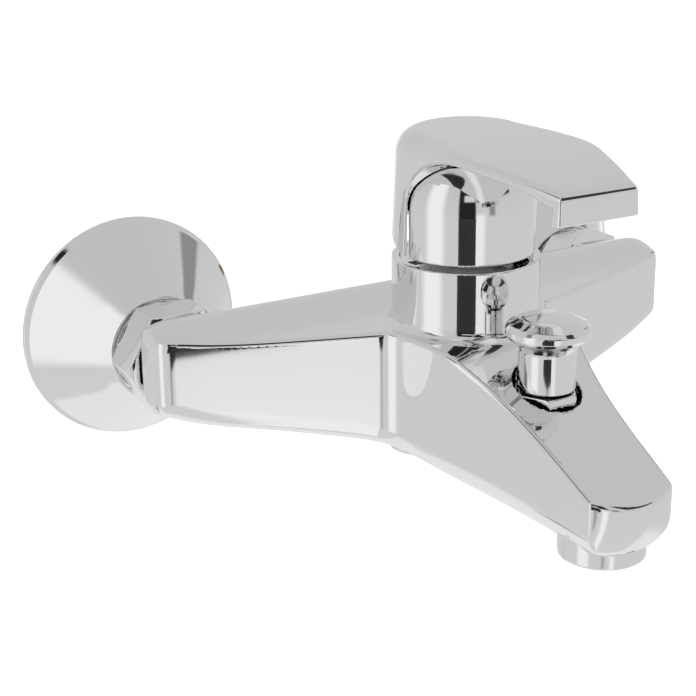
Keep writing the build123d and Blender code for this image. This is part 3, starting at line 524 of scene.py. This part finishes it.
def dome_piece():
    """The dome under the lever, open above and behind."""
    def field(x, y, z):
        y = y - HUB_Y
        reach = np.sqrt(x * x + y * y + np.maximum(z - PIVOT_Z, 0) ** 2)
        wall = between(reach, CAP_R - CAP_WALL, CAP_R)
        shape = both(wall, between(z, CAP_FLOOR_Z, CAP_OPEN_Z), 0.4)
        web = both(np.hypot(x, y) - (CAP_R - CAP_WALL - 1.3), between(z, WEB_Z, WEB_TOP_Z), 0.2)
        shape = np.minimum(shape, web)
        slot = np.maximum(np.abs(x) - 5, np.maximum(-5.5 - y, between(z, WEB_Z - 1, CAP_OPEN_Z)))
        shape = minus(shape, slot, 0.2)
        shape = minus(shape, np.maximum(-0.4 - y, z - PIVOT_Z), 0.4)
        return minus(shape, 3 - y, 0.4)

    return skin("dome_shell", field, (-CAP_R, HUB_Y - CAP_R, CAP_FLOOR_Z),
                (CAP_R, HUB_Y + 3, CAP_OPEN_Z), 0.5)


# ---- Unions and bonnet -----------------------------------------------------------------------
def nut_piece(side):
    """A hexagonal union nut with turned chamfers."""
    def field(x, y, z):
        x, out = x - side * INLET_X, -y
        reach = np.hypot(x, z)
        hexa = both(six_sided(x, z, NUT_FLATS), between(out, NUT_FROM_OUT, NUT_TO_OUT), 0.3)
        end = np.minimum(out - NUT_FROM_OUT, NUT_TO_OUT - out)
        shape = both(hexa, (reach - NUT_FLATS / 2 - 0.1 - end * 1.7) * 0.5, 0.3)
        shape = minus(shape, drum(reach, out, 13.25, 0, 39.1), 0.3)
        return minus(shape, reach - 10.6, 0.3)

    middle = side * INLET_X
    return skin(f"union_nut_shell_{hand_of(side)}", field,
                (middle - 17.4, -NUT_TO_OUT, -17.4), (middle + 17.4, -NUT_FROM_OUT, 17.4), 0.45)


def union_piece(side):
    """The offset union: wall thread core, shoulder and coupling, with its bore."""
    def field(x, y, z):
        x, out = x - side * INLET_X, -y
        centre, wall = np.hypot(x, z), np.hypot(x, z - WALL_THREAD_Z)
        shape = drum(centre, out, UNION_R, 10, 26, 0.6)
        shape = either(shape, drum(centre, out, COUPLING_CORE_R, 12, 35, 0.6), 0.4)
        shape = either(shape, drum(wall, out, THREAD_CORE_R, -14, 14, 0.6), 0.4)
        shape = minus(shape, drum(centre, out, UNION_BORE_R, 12, 50), 0.4)
        return minus(shape, drum(wall, out, WALL_BORE_R, -30, 12), 0.4)

    middle = side * INLET_X
    return skin(f"union_shell_{hand_of(side)}", field,
                (middle - 15, -35, -15), (middle + 15, 14, 18), 0.5)


def bonnet_piece():
    """The diverter's hexagonal bonnet in its recess."""
    def field(x, y, z):
        y = y - DIVERTER_Y
        reach = np.hypot(x, y)
        head = both(six_sided(x, y, BONNET_HEX), between(z, RECESS_FLOOR_Z, BONNET_TOP_Z), 0.25)
        head = both(head, (reach - BONNET_HEX / 2 - 0.1 - (BONNET_TOP_Z - z) * 1.7) * 0.5, 0.25)
        shape = either(head, drum(reach, z, 8.9, UPPER_SEAT_Z, RECESS_FLOOR_Z, 0.3))
        window = np.maximum(between(z, WINDOW_Z, WINDOW_TOP_Z), np.minimum(np.abs(x), np.abs(y)) - 3.5)
        shape = minus(shape, window)
        shape = minus(shape, drum(reach, z, 7.1, WINDOW_Z, WINDOW_TOP_Z))
        shape = minus(shape, drum(reach, z, 4.5, -13, -10.4))
        shape = minus(shape, drum(reach, z, 3.6, -1.6, 0.2))
        return minus(shape, reach - 2.1, 0.15)

    return skin("bonnet_shell", field, (-9.2, DIVERTER_Y - 9.2, UPPER_SEAT_Z),
                (9.2, DIVERTER_Y + 9.2, BONNET_TOP_Z), 0.35)


# ---- Turned pieces ---------------------------------------------------------------------------
def turned(name, profile, place, segments=160):
    """A turned piece from its closed profile of (radius, height, corner radius)."""
    line = cornered(profile, closed=True)
    keep, last = [], None
    for i, point in enumerate(line):
        ahead = line[(i + 1) % len(line)] - point
        behind = point - line[i - 1]
        bend = abs(atan2(behind[0] * ahead[1] - behind[1] * ahead[0], behind @ ahead))
        near_bend = False
        for j in (i - 1, (i + 1) % len(line)):
            a, b = line[(j + 1) % len(line)] - line[j], line[j] - line[j - 1]
            near_bend |= abs(atan2(b[0] * a[1] - b[1] * a[0], b @ a)) > 0.01
        if bend > 0.01 or near_bend or last is None or np.linalg.norm(point - last) > 2.5:
            keep.append(point)
            last = point
    keep = np.array(keep)
    angles = np.arange(segments) * 2 * pi / segments
    points = np.stack([np.outer(np.cos(angles), keep[:, 0]), np.outer(np.sin(angles), keep[:, 0]),
                       np.tile(keep[:, 1], (segments, 1))], -1).reshape(-1, 3)
    count = len(keep)
    faces = []
    for s in range(segments):
        for i in range(count):
            a, b = s * count, (s + 1) % segments * count
            j = (i + 1) % count
            faces.append((a + i, b + i, b + j, a + j))
    piece = new_object(name, points, faces)
    shape = bmesh.new()
    shape.from_mesh(piece.data)
    bmesh.ops.remove_doubles(shape, verts=shape.verts, dist=1e-6)
    bmesh.ops.dissolve_degenerate(shape, edges=shape.edges, dist=1e-7)
    bmesh.ops.recalc_face_normals(shape, faces=shape.faces)
    shape.to_mesh(piece.data)
    shape.free()
    piece.data.set_sharp_from_angle(angle=radians(40))
    piece.data.transform(place)
    return piece


def at(x, y, z, outward=False):
    """A turned piece's place: its axis up, or pointing out from the wall."""
    move = Matrix.Translation(Vector((x, y, z)) * MM)
    return move @ Matrix.Rotation(pi / 2, 4, "X") if outward else move


def escutcheon_piece(side):
    """The conical wall cover, hollow behind."""
    profile = [(15.2, 25.9, 0.3), (16.3, 26.0, 0.3), (19.4, 21.3, 9.0), (33.6, 2.7, 1.4),
               (35.0, 1.5, 0.5), (35.0, 0, 0.4), (34.0, 0, 0.3), (34.0, 1.0, 0.3),
               (32.7, 1.9, 0.6), (18.4, 20.5, 8.0), (15.2, 25.0, 0.3)]
    return turned(f"escutcheon_shell_{hand_of(side)}", profile, at(side * INLET_X, 0, 0, True), 192)


def knob_piece():
    """The pull-up knob: skirt, waist and domed head."""
    profile = [(6.6, 3.2, 0.3), (8.0, 3.2, 0.4), (8.0, 14.6, 3.0), (8.9, 16.7, 1.2), (11.2, 18.0, 0.8),
               (11.8, 19.1, 0.6), (11.8, 20.7, 0.8), (10.9, 21.9, 1.2), (7.4, 23.6, 6.0), (0, 24.5, 0),
               (0, 5.6, 0), (4.0, 5.6, 0.3), (4.0, 13.5, 0), (6.6, 13.0, 0)]
    return turned("diverter_knob_shell", profile, at(0, DIVERTER_Y, 0), 144)


def aerator_piece():
    """The ring round the aerator, with its inner lip."""
    lip_r, inner_r, low, lip_z = 9.2, 10.2, AERATOR_FLOOR_Z, -34.7
    profile = [(lip_r, low, 0.3), (AERATOR_R, low, 0.7), (AERATOR_R, AERATOR_TOP_Z, 0),
               (inner_r, AERATOR_TOP_Z, 0), (inner_r, lip_z, 0), (lip_r, lip_z, 0.2)]
    return turned("aerator_ring", profile, at(0, AERATOR_Y, 0), 128)


# ---- Threads by geometry nodes ---------------------------------------------------------------
def thread_tree():
    """A screw thread: a four-sided ridge swept along a helix."""
    tree = bpy.data.node_groups.new("screw thread", "GeometryNodeTree")
    tree.interface.new_socket("Geometry", in_out="OUTPUT", socket_type="NodeSocketGeometry")
    for label in ("Radius", "Pitch", "Length", "Ridge"):
        tree.interface.new_socket(label, in_out="INPUT", socket_type="NodeSocketFloat")
    tree.interface.new_socket("Finish", in_out="INPUT", socket_type="NodeSocketMaterial")
    add, join = tree.nodes.new, tree.links.new
    given, out = add("NodeGroupInput"), add("NodeGroupOutput")
    turns = add("ShaderNodeMath")
    turns.operation = "DIVIDE"
    join(given.outputs["Length"], turns.inputs[0])
    join(given.outputs["Pitch"], turns.inputs[1])
    helix = add("GeometryNodeCurveSpiral")
    helix.inputs["Resolution"].default_value = 72
    join(turns.outputs[0], helix.inputs["Rotations"])
    join(given.outputs["Radius"], helix.inputs["Start Radius"])
    join(given.outputs["Radius"], helix.inputs["End Radius"])
    join(given.outputs["Length"], helix.inputs["Height"])
    normal = add("GeometryNodeSetCurveNormal")
    normal.mode = "Z_UP"
    join(helix.outputs["Curve"], normal.inputs["Curve"])
    ridge = add("GeometryNodeCurvePrimitiveCircle")
    ridge.inputs["Resolution"].default_value = 4
    join(given.outputs["Ridge"], ridge.inputs["Radius"])
    sweep = add("GeometryNodeCurveToMesh")
    sweep.inputs["Fill Caps"].default_value = True
    join(normal.outputs["Curve"], sweep.inputs["Curve"])
    join(ridge.outputs["Curve"], sweep.inputs["Profile Curve"])
    real, paint = add("GeometryNodeRealizeInstances"), add("GeometryNodeSetMaterial")
    join(sweep.outputs["Mesh"], real.inputs["Geometry"])
    join(real.outputs["Geometry"], paint.inputs["Geometry"])
    join(given.outputs["Finish"], paint.inputs["Material"])
    join(paint.outputs["Geometry"], out.inputs["Geometry"])
    return tree


def grown(name, tree, place, **sizes):
    """What a geometry node tree makes from its named sizes, as a plain mesh in its place."""
    host = bpy.data.objects.new(name + "_host", bpy.data.meshes.new(name + "_host"))
    bpy.context.scene.collection.objects.link(host)
    modifier = host.modifiers.new("grow", "NODES")
    modifier.node_group = tree
    for item in tree.interface.items_tree:
        if item.in_out == "INPUT" and item.name in sizes:
            modifier[item.identifier] = sizes[item.name]
    bpy.context.view_layer.update()
    mesh = bpy.data.meshes.new_from_object(host.evaluated_get(bpy.context.evaluated_depsgraph_get()))
    bpy.data.objects.remove(host)
    mesh.name = name
    mesh.transform(place)
    shape = bmesh.new()
    shape.from_mesh(mesh)
    bmesh.ops.recalc_face_normals(shape, faces=shape.faces)
    shape.to_mesh(mesh)
    shape.free()
    piece = bpy.data.objects.new(name, mesh)
    bpy.context.scene.collection.objects.link(piece)
    return piece


# ---- Finishes --------------------------------------------------------------------------------
def polish_group():
    """Slight unevenness of a polished or moulded face: a roughness and a normal."""
    tree = bpy.data.node_groups.new("surface unevenness", "ShaderNodeTree")
    for label, value in (("Grain Size", 40.0), ("Roughness", 0.05), ("Spread", 0.02),
                         ("Ripple Size", 30.0), ("Ripple", 0.02)):
        socket = tree.interface.new_socket(label, in_out="INPUT", socket_type="NodeSocketFloat")
        socket.default_value = value
    tree.interface.new_socket("Roughness", in_out="OUTPUT", socket_type="NodeSocketFloat")
    tree.interface.new_socket("Normal", in_out="OUTPUT", socket_type="NodeSocketVector")
    add, join = tree.nodes.new, tree.links.new
    given, out, place = add("NodeGroupInput"), add("NodeGroupOutput"), add("ShaderNodeTexCoord")
    grain = add("ShaderNodeTexNoise")
    grain.inputs["Detail"].default_value = 6.0
    join(place.outputs["Object"], grain.inputs["Vector"])
    join(given.outputs["Grain Size"], grain.inputs["Scale"])
    spread = add("ShaderNodeMath")
    spread.operation = "MULTIPLY_ADD"
    join(grain.outputs["Fac"], spread.inputs[0])
    join(given.outputs["Spread"], spread.inputs[1])
    join(given.outputs["Roughness"], spread.inputs[2])
    join(spread.outputs[0], out.inputs["Roughness"])
    ripple = add("ShaderNodeTexNoise")
    ripple.inputs["Detail"].default_value = 1.0
    join(place.outputs["Object"], ripple.inputs["Vector"])
    join(given.outputs["Ripple Size"], ripple.inputs["Scale"])
    bump = add("ShaderNodeBump")
    bump.inputs["Distance"].default_value = 0.001
    join(given.outputs["Ripple"], bump.inputs["Strength"])
    join(ripple.outputs["Fac"], bump.inputs["Height"])
    join(bump.outputs["Normal"], out.inputs["Normal"])
    return tree


def wear_group():
    """Where edges are rubbed: a mask from the shape's sharp places, broken up by noise."""
    tree = bpy.data.node_groups.new("edge wear", "ShaderNodeTree")
    for label, value in (("Reach", 0.1), ("Break Up", 300.0)):
        socket = tree.interface.new_socket(label, in_out="INPUT", socket_type="NodeSocketFloat")
        socket.default_value = value
    tree.interface.new_socket("Mask", in_out="OUTPUT", socket_type="NodeSocketFloat")
    add, join = tree.nodes.new, tree.links.new
    given, out = add("NodeGroupInput"), add("NodeGroupOutput")
    shape, place, noise = add("ShaderNodeNewGeometry"), add("ShaderNodeTexCoord"), add("ShaderNodeTexNoise")
    join(place.outputs["Object"], noise.inputs["Vector"])
    join(given.outputs["Break Up"], noise.inputs["Scale"])
    ramp = add("ShaderNodeMapRange")
    ramp.inputs["From Min"].default_value = 0.52
    ramp.inputs["From Max"].default_value = 0.62
    join(shape.outputs["Pointiness"], ramp.inputs["Value"])
    join(given.outputs["Reach"], ramp.inputs["To Max"])
    broken = add("ShaderNodeMath")
    broken.operation = "MULTIPLY"
    join(ramp.outputs["Result"], broken.inputs[0])
    join(noise.outputs["Fac"], broken.inputs[1])
    join(broken.outputs[0], out.inputs["Mask"])
    return tree


UNEVEN = polish_group()
WEAR = wear_group()


def finish(name, colour, worn, metal, roughness, spread, grain, ripple, ripple_size=30.0, wear=0.3, **plain):
    """A procedural material: base and worn colours, uneven polish and rubbed edges."""
    material = bpy.data.materials.new(name)
    material.use_nodes = True
    nodes, join = material.node_tree.nodes, material.node_tree.links.new
    shader = nodes["Principled BSDF"]
    uneven = nodes.new("ShaderNodeGroup")
    uneven.node_tree = UNEVEN
    for label, value in (("Grain Size", grain), ("Roughness", roughness), ("Spread", spread),
                         ("Ripple Size", ripple_size), ("Ripple", ripple)):
        uneven.inputs[label].default_value = value
    rubbed = nodes.new("ShaderNodeGroup")
    rubbed.node_tree = WEAR
    rubbed.inputs["Reach"].default_value = wear
    place, cloud = nodes.new("ShaderNodeTexCoord"), nodes.new("ShaderNodeTexNoise")
    cloud.inputs["Scale"].default_value = grain / 3
    join(place.outputs["Object"], cloud.inputs["Vector"])
    blend = nodes.new("ShaderNodeMix")
    blend.data_type = "RGBA"
    blend.inputs["A"].default_value = (*colour, 1)
    blend.inputs["B"].default_value = (*worn, 1)
    mask = nodes.new("ShaderNodeMath")
    mask.operation = "MULTIPLY_ADD"
    mask.use_clamp = True
    mask.inputs[1].default_value = 0.15
    join(cloud.outputs["Fac"], mask.inputs[0])
    join(rubbed.outputs["Mask"], mask.inputs[2])
    join(mask.outputs[0], blend.inputs["Factor"])
    join(blend.outputs["Result"], shader.inputs["Base Color"])
    join(uneven.outputs["Roughness"], shader.inputs["Roughness"])
    join(uneven.outputs["Normal"], shader.inputs["Normal"])
    shader.inputs["Metallic"].default_value = metal
    for label, value in plain.items():
        shader.inputs[label.replace("_", " ")].default_value = value
    return material


CHROME = finish("polished chrome", (0.84, 0.845, 0.85), (0.88, 0.885, 0.89), 1.0, 0.035, 0.02, 60, 0.012, 26)
BRASS = finish("machined brass", (0.62, 0.44, 0.18), (0.72, 0.55, 0.28), 1.0, 0.2, 0.16, 500, 0.08, 900)
CERAMIC = finish("sintered ceramic", (0.86, 0.85, 0.82), (0.9, 0.9, 0.88), 0.0, 0.12, 0.08, 400, 0.02, 700)
WHITE_PLASTIC = finish(
    "white moulded plastic", (0.8, 0.8, 0.78), (0.86, 0.86, 0.84), 0.0, 0.32, 0.14, 700, 0.1, 1200)
GREY_PLASTIC = finish(
    "grey moulded plastic", (0.16, 0.165, 0.17), (0.26, 0.26, 0.27), 0.0, 0.35, 0.15, 700, 0.1, 1200)
RUBBER = finish("black rubber", (0.018, 0.018, 0.02), (0.06, 0.06, 0.06), 0.0, 0.6, 0.2, 800, 0.2, 1500)
FIBRE = finish("red fibre", (0.3, 0.06, 0.03), (0.42, 0.14, 0.08), 0.0, 0.75, 0.2, 900, 0.4, 2200)
STEEL = finish("spring steel", (0.52, 0.52, 0.53), (0.66, 0.66, 0.67), 1.0, 0.22, 0.12, 900, 0.05, 1500)
INDEX = finish("index plug grey", (0.3, 0.31, 0.33), (0.42, 0.43, 0.45), 0.0, 0.25, 0.1, 600, 0.05, 900)

CARRIED = {
    BRASS: ("inlet_nipple_left", "inlet_nipple_right", "diverter_stem"),
    CHROME: ("cartridge_nut",),
    CERAMIC: ("fixed_disc", "moving_disc"),
    WHITE_PLASTIC: ("cartridge_housing", "stem_holder", "aerator_insert", "check_valve_body"),
    GREY_PLASTIC: ("cartridge_base", "disc_carrier", "check_valve_poppet"),
    RUBBER: ("cartridge_seals", "diverter_seal", "lower_valve_washer", "upper_valve_washer",
             "aerator_washer"),
    FIBRE: ("inlet_washer_left", "inlet_washer_right"),
    STEEL: ("housing_clip", "stem_pin", "lever_stem", "handle_screw", "diverter_spring",
            "check_valve_spring"),
    INDEX: ("index_plug",),
}
for material, names in CARRIED.items():
    for name in names:
        for holder in frame["nodes"][name].material_slots:
            holder.link = "OBJECT"
            holder.material = material


# ---- Assembly --------------------------------------------------------------------------------
def fitted(piece, body, material, slot, *nodes):
    """Gives a piece its finish and its body, and hides the nodes that it stands for."""
    if not piece.data.materials:
        piece.data.materials.append(material)
    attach(piece, body)
    if nodes:
        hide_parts(*nodes)


THREAD = thread_tree()
fitted(body_piece(), "root", CHROME, "polished_chrome", "body")
fitted(lever_piece(), "lever", CHROME, "polished_chrome", "handle")
fitted(dome_piece(), "rotor", CHROME, "polished_chrome", "dome_cap")
fitted(bonnet_piece(), "root", CHROME, "polished_chrome", "diverter_bonnet")
fitted(knob_piece(), "diverter", CHROME, "polished_chrome", "diverter_knob")
fitted(aerator_piece(), "root", CHROME, "polished_chrome", "aerator_shell")
for side in (-1, 1):
    hand = hand_of(side)
    fitted(escutcheon_piece(side), "root", CHROME, "polished_chrome", f"escutcheon_{hand}")
    fitted(nut_piece(side), "root", CHROME, "polished_chrome", f"union_nut_{hand}")
    fitted(union_piece(side), "root", CHROME, "polished_chrome", f"eccentric_union_{hand}")
    threads = (("wall_thread", 13.0, WALL_THREAD_Z, THREAD_CORE_R, 20.0, BRASS, "brass"),
               ("coupling_thread", -26.6, 0, COUPLING_CORE_R, 7.4, CHROME, "polished_chrome"))
    for name, y, z, core, length, finished, material_slot in threads:
        thread = grown(f"{name}_{hand}", THREAD, at(side * INLET_X, y, z, True), Radius=core * MM,
                       Pitch=THREAD_PITCH * MM, Length=length * MM, Ridge=THREAD_RIDGE * MM, Finish=finished)
        fitted(thread, "root", finished, material_slot)
outlet = grown("shower_thread", THREAD, at(0, SHOWER_Y, SHOWER_END_Z + 1.0), Radius=THREAD_CORE_R * MM,
               Pitch=THREAD_PITCH * MM, Length=6.0 * MM, Ridge=THREAD_RIDGE * MM, Finish=CHROME)
fitted(outlet, "root", CHROME, "polished_chrome")

# Coil springs each get their own copy of their mesh; listed with the joint, the height of the end that stays,
# and how far the other end travels.
for name, joint, fixed_z, travel in (("diverter_spring", "diverter_lift", -6.9, 5.8),
                                     ("check_valve_spring", "poppet_slide", -36.05, 1.2)):
    coil = frame["nodes"][name]
    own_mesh(coil)


# ---- Studio ----------------------------------------------------------------------------------
def floor():
    """A pale floor under the object, which its chrome does not mirror."""
    mesh = bpy.data.meshes.new("studio_floor")
    size = 6.0
    corners = [(-size, -size, FLOOR_Z), (size, -size, FLOOR_Z), (size, size, FLOOR_Z), (-size, size, FLOOR_Z)]
    mesh.from_pydata(corners, [], [(0, 1, 2, 3)])
    plane = bpy.data.objects.new("studio_floor", mesh)
    bpy.context.scene.collection.objects.link(plane)
    plane.visible_glossy = False
    material = bpy.data.materials.new("pale floor")
    material.use_nodes = True
    shader = material.node_tree.nodes["Principled BSDF"]
    shader.inputs["Base Color"].default_value = (0.9, 0.9, 0.9, 1)
    shader.inputs["Roughness"].default_value = 0.9
    shader.inputs["Emission Color"].default_value = (1, 1, 1, 1)
    shader.inputs["Emission Strength"].default_value = 0.8
    mesh.materials.append(material)


def ground_flag():
    """A black card lying in front of the object, which only its upper parts mirror."""
    near, far = 0.38, 0.9
    corners = []
    for turn, reach in ((-17, near), (11, near), (11, far), (-17, far)):
        way = VIEW_AZIMUTH + radians(turn)
        corners.append((reach * sin(way), HUB_Y * MM - reach * cos(way), FLOOR_Z + 0.001))
    mesh = bpy.data.meshes.new("ground_flag")
    mesh.from_pydata(corners, [], [(0, 1, 2, 3)])
    card = bpy.data.objects.new("ground_flag", mesh)
    bpy.context.scene.collection.objects.link(card)
    for ray in ("camera", "diffuse", "shadow", "transmission"):
        setattr(card, f"visible_{ray}", False)
    material = bpy.data.materials.new("black card")
    material.use_nodes = True
    material.node_tree.nodes["Principled BSDF"].inputs["Base Color"].default_value = (0.01, 0.01, 0.01, 1)
    mesh.materials.append(material)


def camera():
    """Looks at the faucet from its left and above."""
    azimuth, height, roll = VIEW_AZIMUTH, radians(19.58), radians(-0.72)
    target, distance = Vector((-50.28, -96.46, 17.15)) * MM, 450.07 * MM
    back = Vector((sin(azimuth) * cos(height), -cos(azimuth) * cos(height), sin(height)))
    right = Vector((cos(azimuth), sin(azimuth), 0))
    up = back.cross(right)
    turned_right, turned_up = right * cos(roll) + up * sin(roll), up * cos(roll) - right * sin(roll)
    data = bpy.data.cameras.new("camera")
    data.lens, data.sensor_width = 86.32, 36.0
    seen = bpy.data.objects.new("camera", data)
    axes = Matrix((turned_right, turned_up, back)).transposed().to_4x4()
    seen.matrix_world = Matrix.Translation(target + back * distance) @ axes
    bpy.context.scene.collection.objects.link(seen)
    bpy.context.scene.camera = seen


# Soft boxes and flags around the object: azimuth to the right of the camera and height, half width
# and half height, softness, all in degrees, and brightness.
CARDS = (
    ("ground behind", 180, -62, 95, 24, 10, 0.88),
    ("wall glow", 180, -6, 24, 9, 7, 0.95),
    ("ground streak", 18, -58, 6, 38, 8, 0.98),
    ("left soft box", -57, 8, 15, 40, 13, 0.98),
    ("left flag", -70, 47, 8, 12, 6, 0.25),
    ("front glow", 17, -12, 9, 8, 10, 0.95),
    ("black flag", -3, 17, 14, 31, 4, 0.02),
    ("narrow flag", -5, -20, 4, 8, 4, 0.42),
    ("arm edge flag", 23, 32, 10, 16, 4, 0.03),
    ("lever edge flag", 66, 34, 11, 16, 4, 0.04),
    ("bright slit", 1, 22, 9, 5, 4, 0.7),
    ("right rear flag", 136, 23, 9, 7, 4, 0.3),
    ("left rear flag", -128, -34, 8, 6, 5, 0.3),
    ("right flag", 38, 5, 5, 12, 5, 0.3),
)


def world():
    """A light grey tent with white soft boxes and black flags; the camera itself sees plain white."""
    azimuth = VIEW_AZIMUTH
    space = bpy.data.worlds.new("studio")
    bpy.context.scene.world = space
    space.use_nodes = True
    tree = space.node_tree
    add, join = tree.nodes.new, tree.links.new

    def maths(operation, *values):
        node = add("ShaderNodeMath")
        node.operation = operation
        for i, value in enumerate(values):
            if isinstance(value, (int, float)):
                node.inputs[i].default_value = value
            else:
                join(value, node.inputs[i])
        return node.outputs[0]

    def ranged(value, start, end, low, high):
        node = add("ShaderNodeMapRange")
        node.interpolation_type = "SMOOTHSTEP"
        join(value, node.inputs["Value"])
        for label, number in (("From Min", start), ("From Max", end), ("To Min", low), ("To Max", high)):
            node.inputs[label].default_value = number
        return node.outputs["Result"]

    def along(axis):
        node = add("ShaderNodeVectorMath")
        node.operation = "DOT_PRODUCT"
        join(way.outputs["Generated"], node.inputs[0])
        node.inputs[1].default_value = axis
        return node.outputs["Value"]

    way = add("ShaderNodeTexCoord")
    right = along((cos(azimuth), sin(azimuth), 0))
    towards = along((sin(azimuth), -cos(azimuth), 0))
    around = maths("DEGREES", maths("ARCTAN2", right, towards))
    height = maths("DEGREES", maths("ARCSINE", along((0, 0, 1))))
    glow = ranged(height, -80, 80, 0.72, 0.6)
    for _, middle, level, wide, tall, soft, brightness in CARDS:
        sideways = maths("ABSOLUTE", maths("WRAP", maths("SUBTRACT", around, middle), 180, -180))
        upwards = maths("ABSOLUTE", maths("SUBTRACT", height, level))
        mask = maths("MULTIPLY", ranged(sideways, wide - soft / 2, wide + soft / 2, 1, 0),
                     ranged(upwards, tall - soft / 2, tall + soft / 2, 1, 0))
        outside = maths("MULTIPLY", glow, maths("SUBTRACT", 1, mask))
        glow = maths("ADD", outside, maths("MULTIPLY", mask, brightness))
    sky = tree.nodes["Background"]
    join(glow, sky.inputs["Color"])
    plain, mix, light = add("ShaderNodeBackground"), add("ShaderNodeMixShader"), add("ShaderNodeLightPath")
    plain.inputs["Color"].default_value = (1, 1, 1, 1)
    join(light.outputs["Is Camera Ray"], mix.inputs["Fac"])
    join(sky.outputs[0], mix.inputs[1])
    join(plain.outputs[0], mix.inputs[2])
    join(mix.outputs[0], tree.nodes["World Output"].inputs["Surface"])


floor()
ground_flag()
camera()
world()
bpy.context.scene.view_settings.view_transform = "Standard"
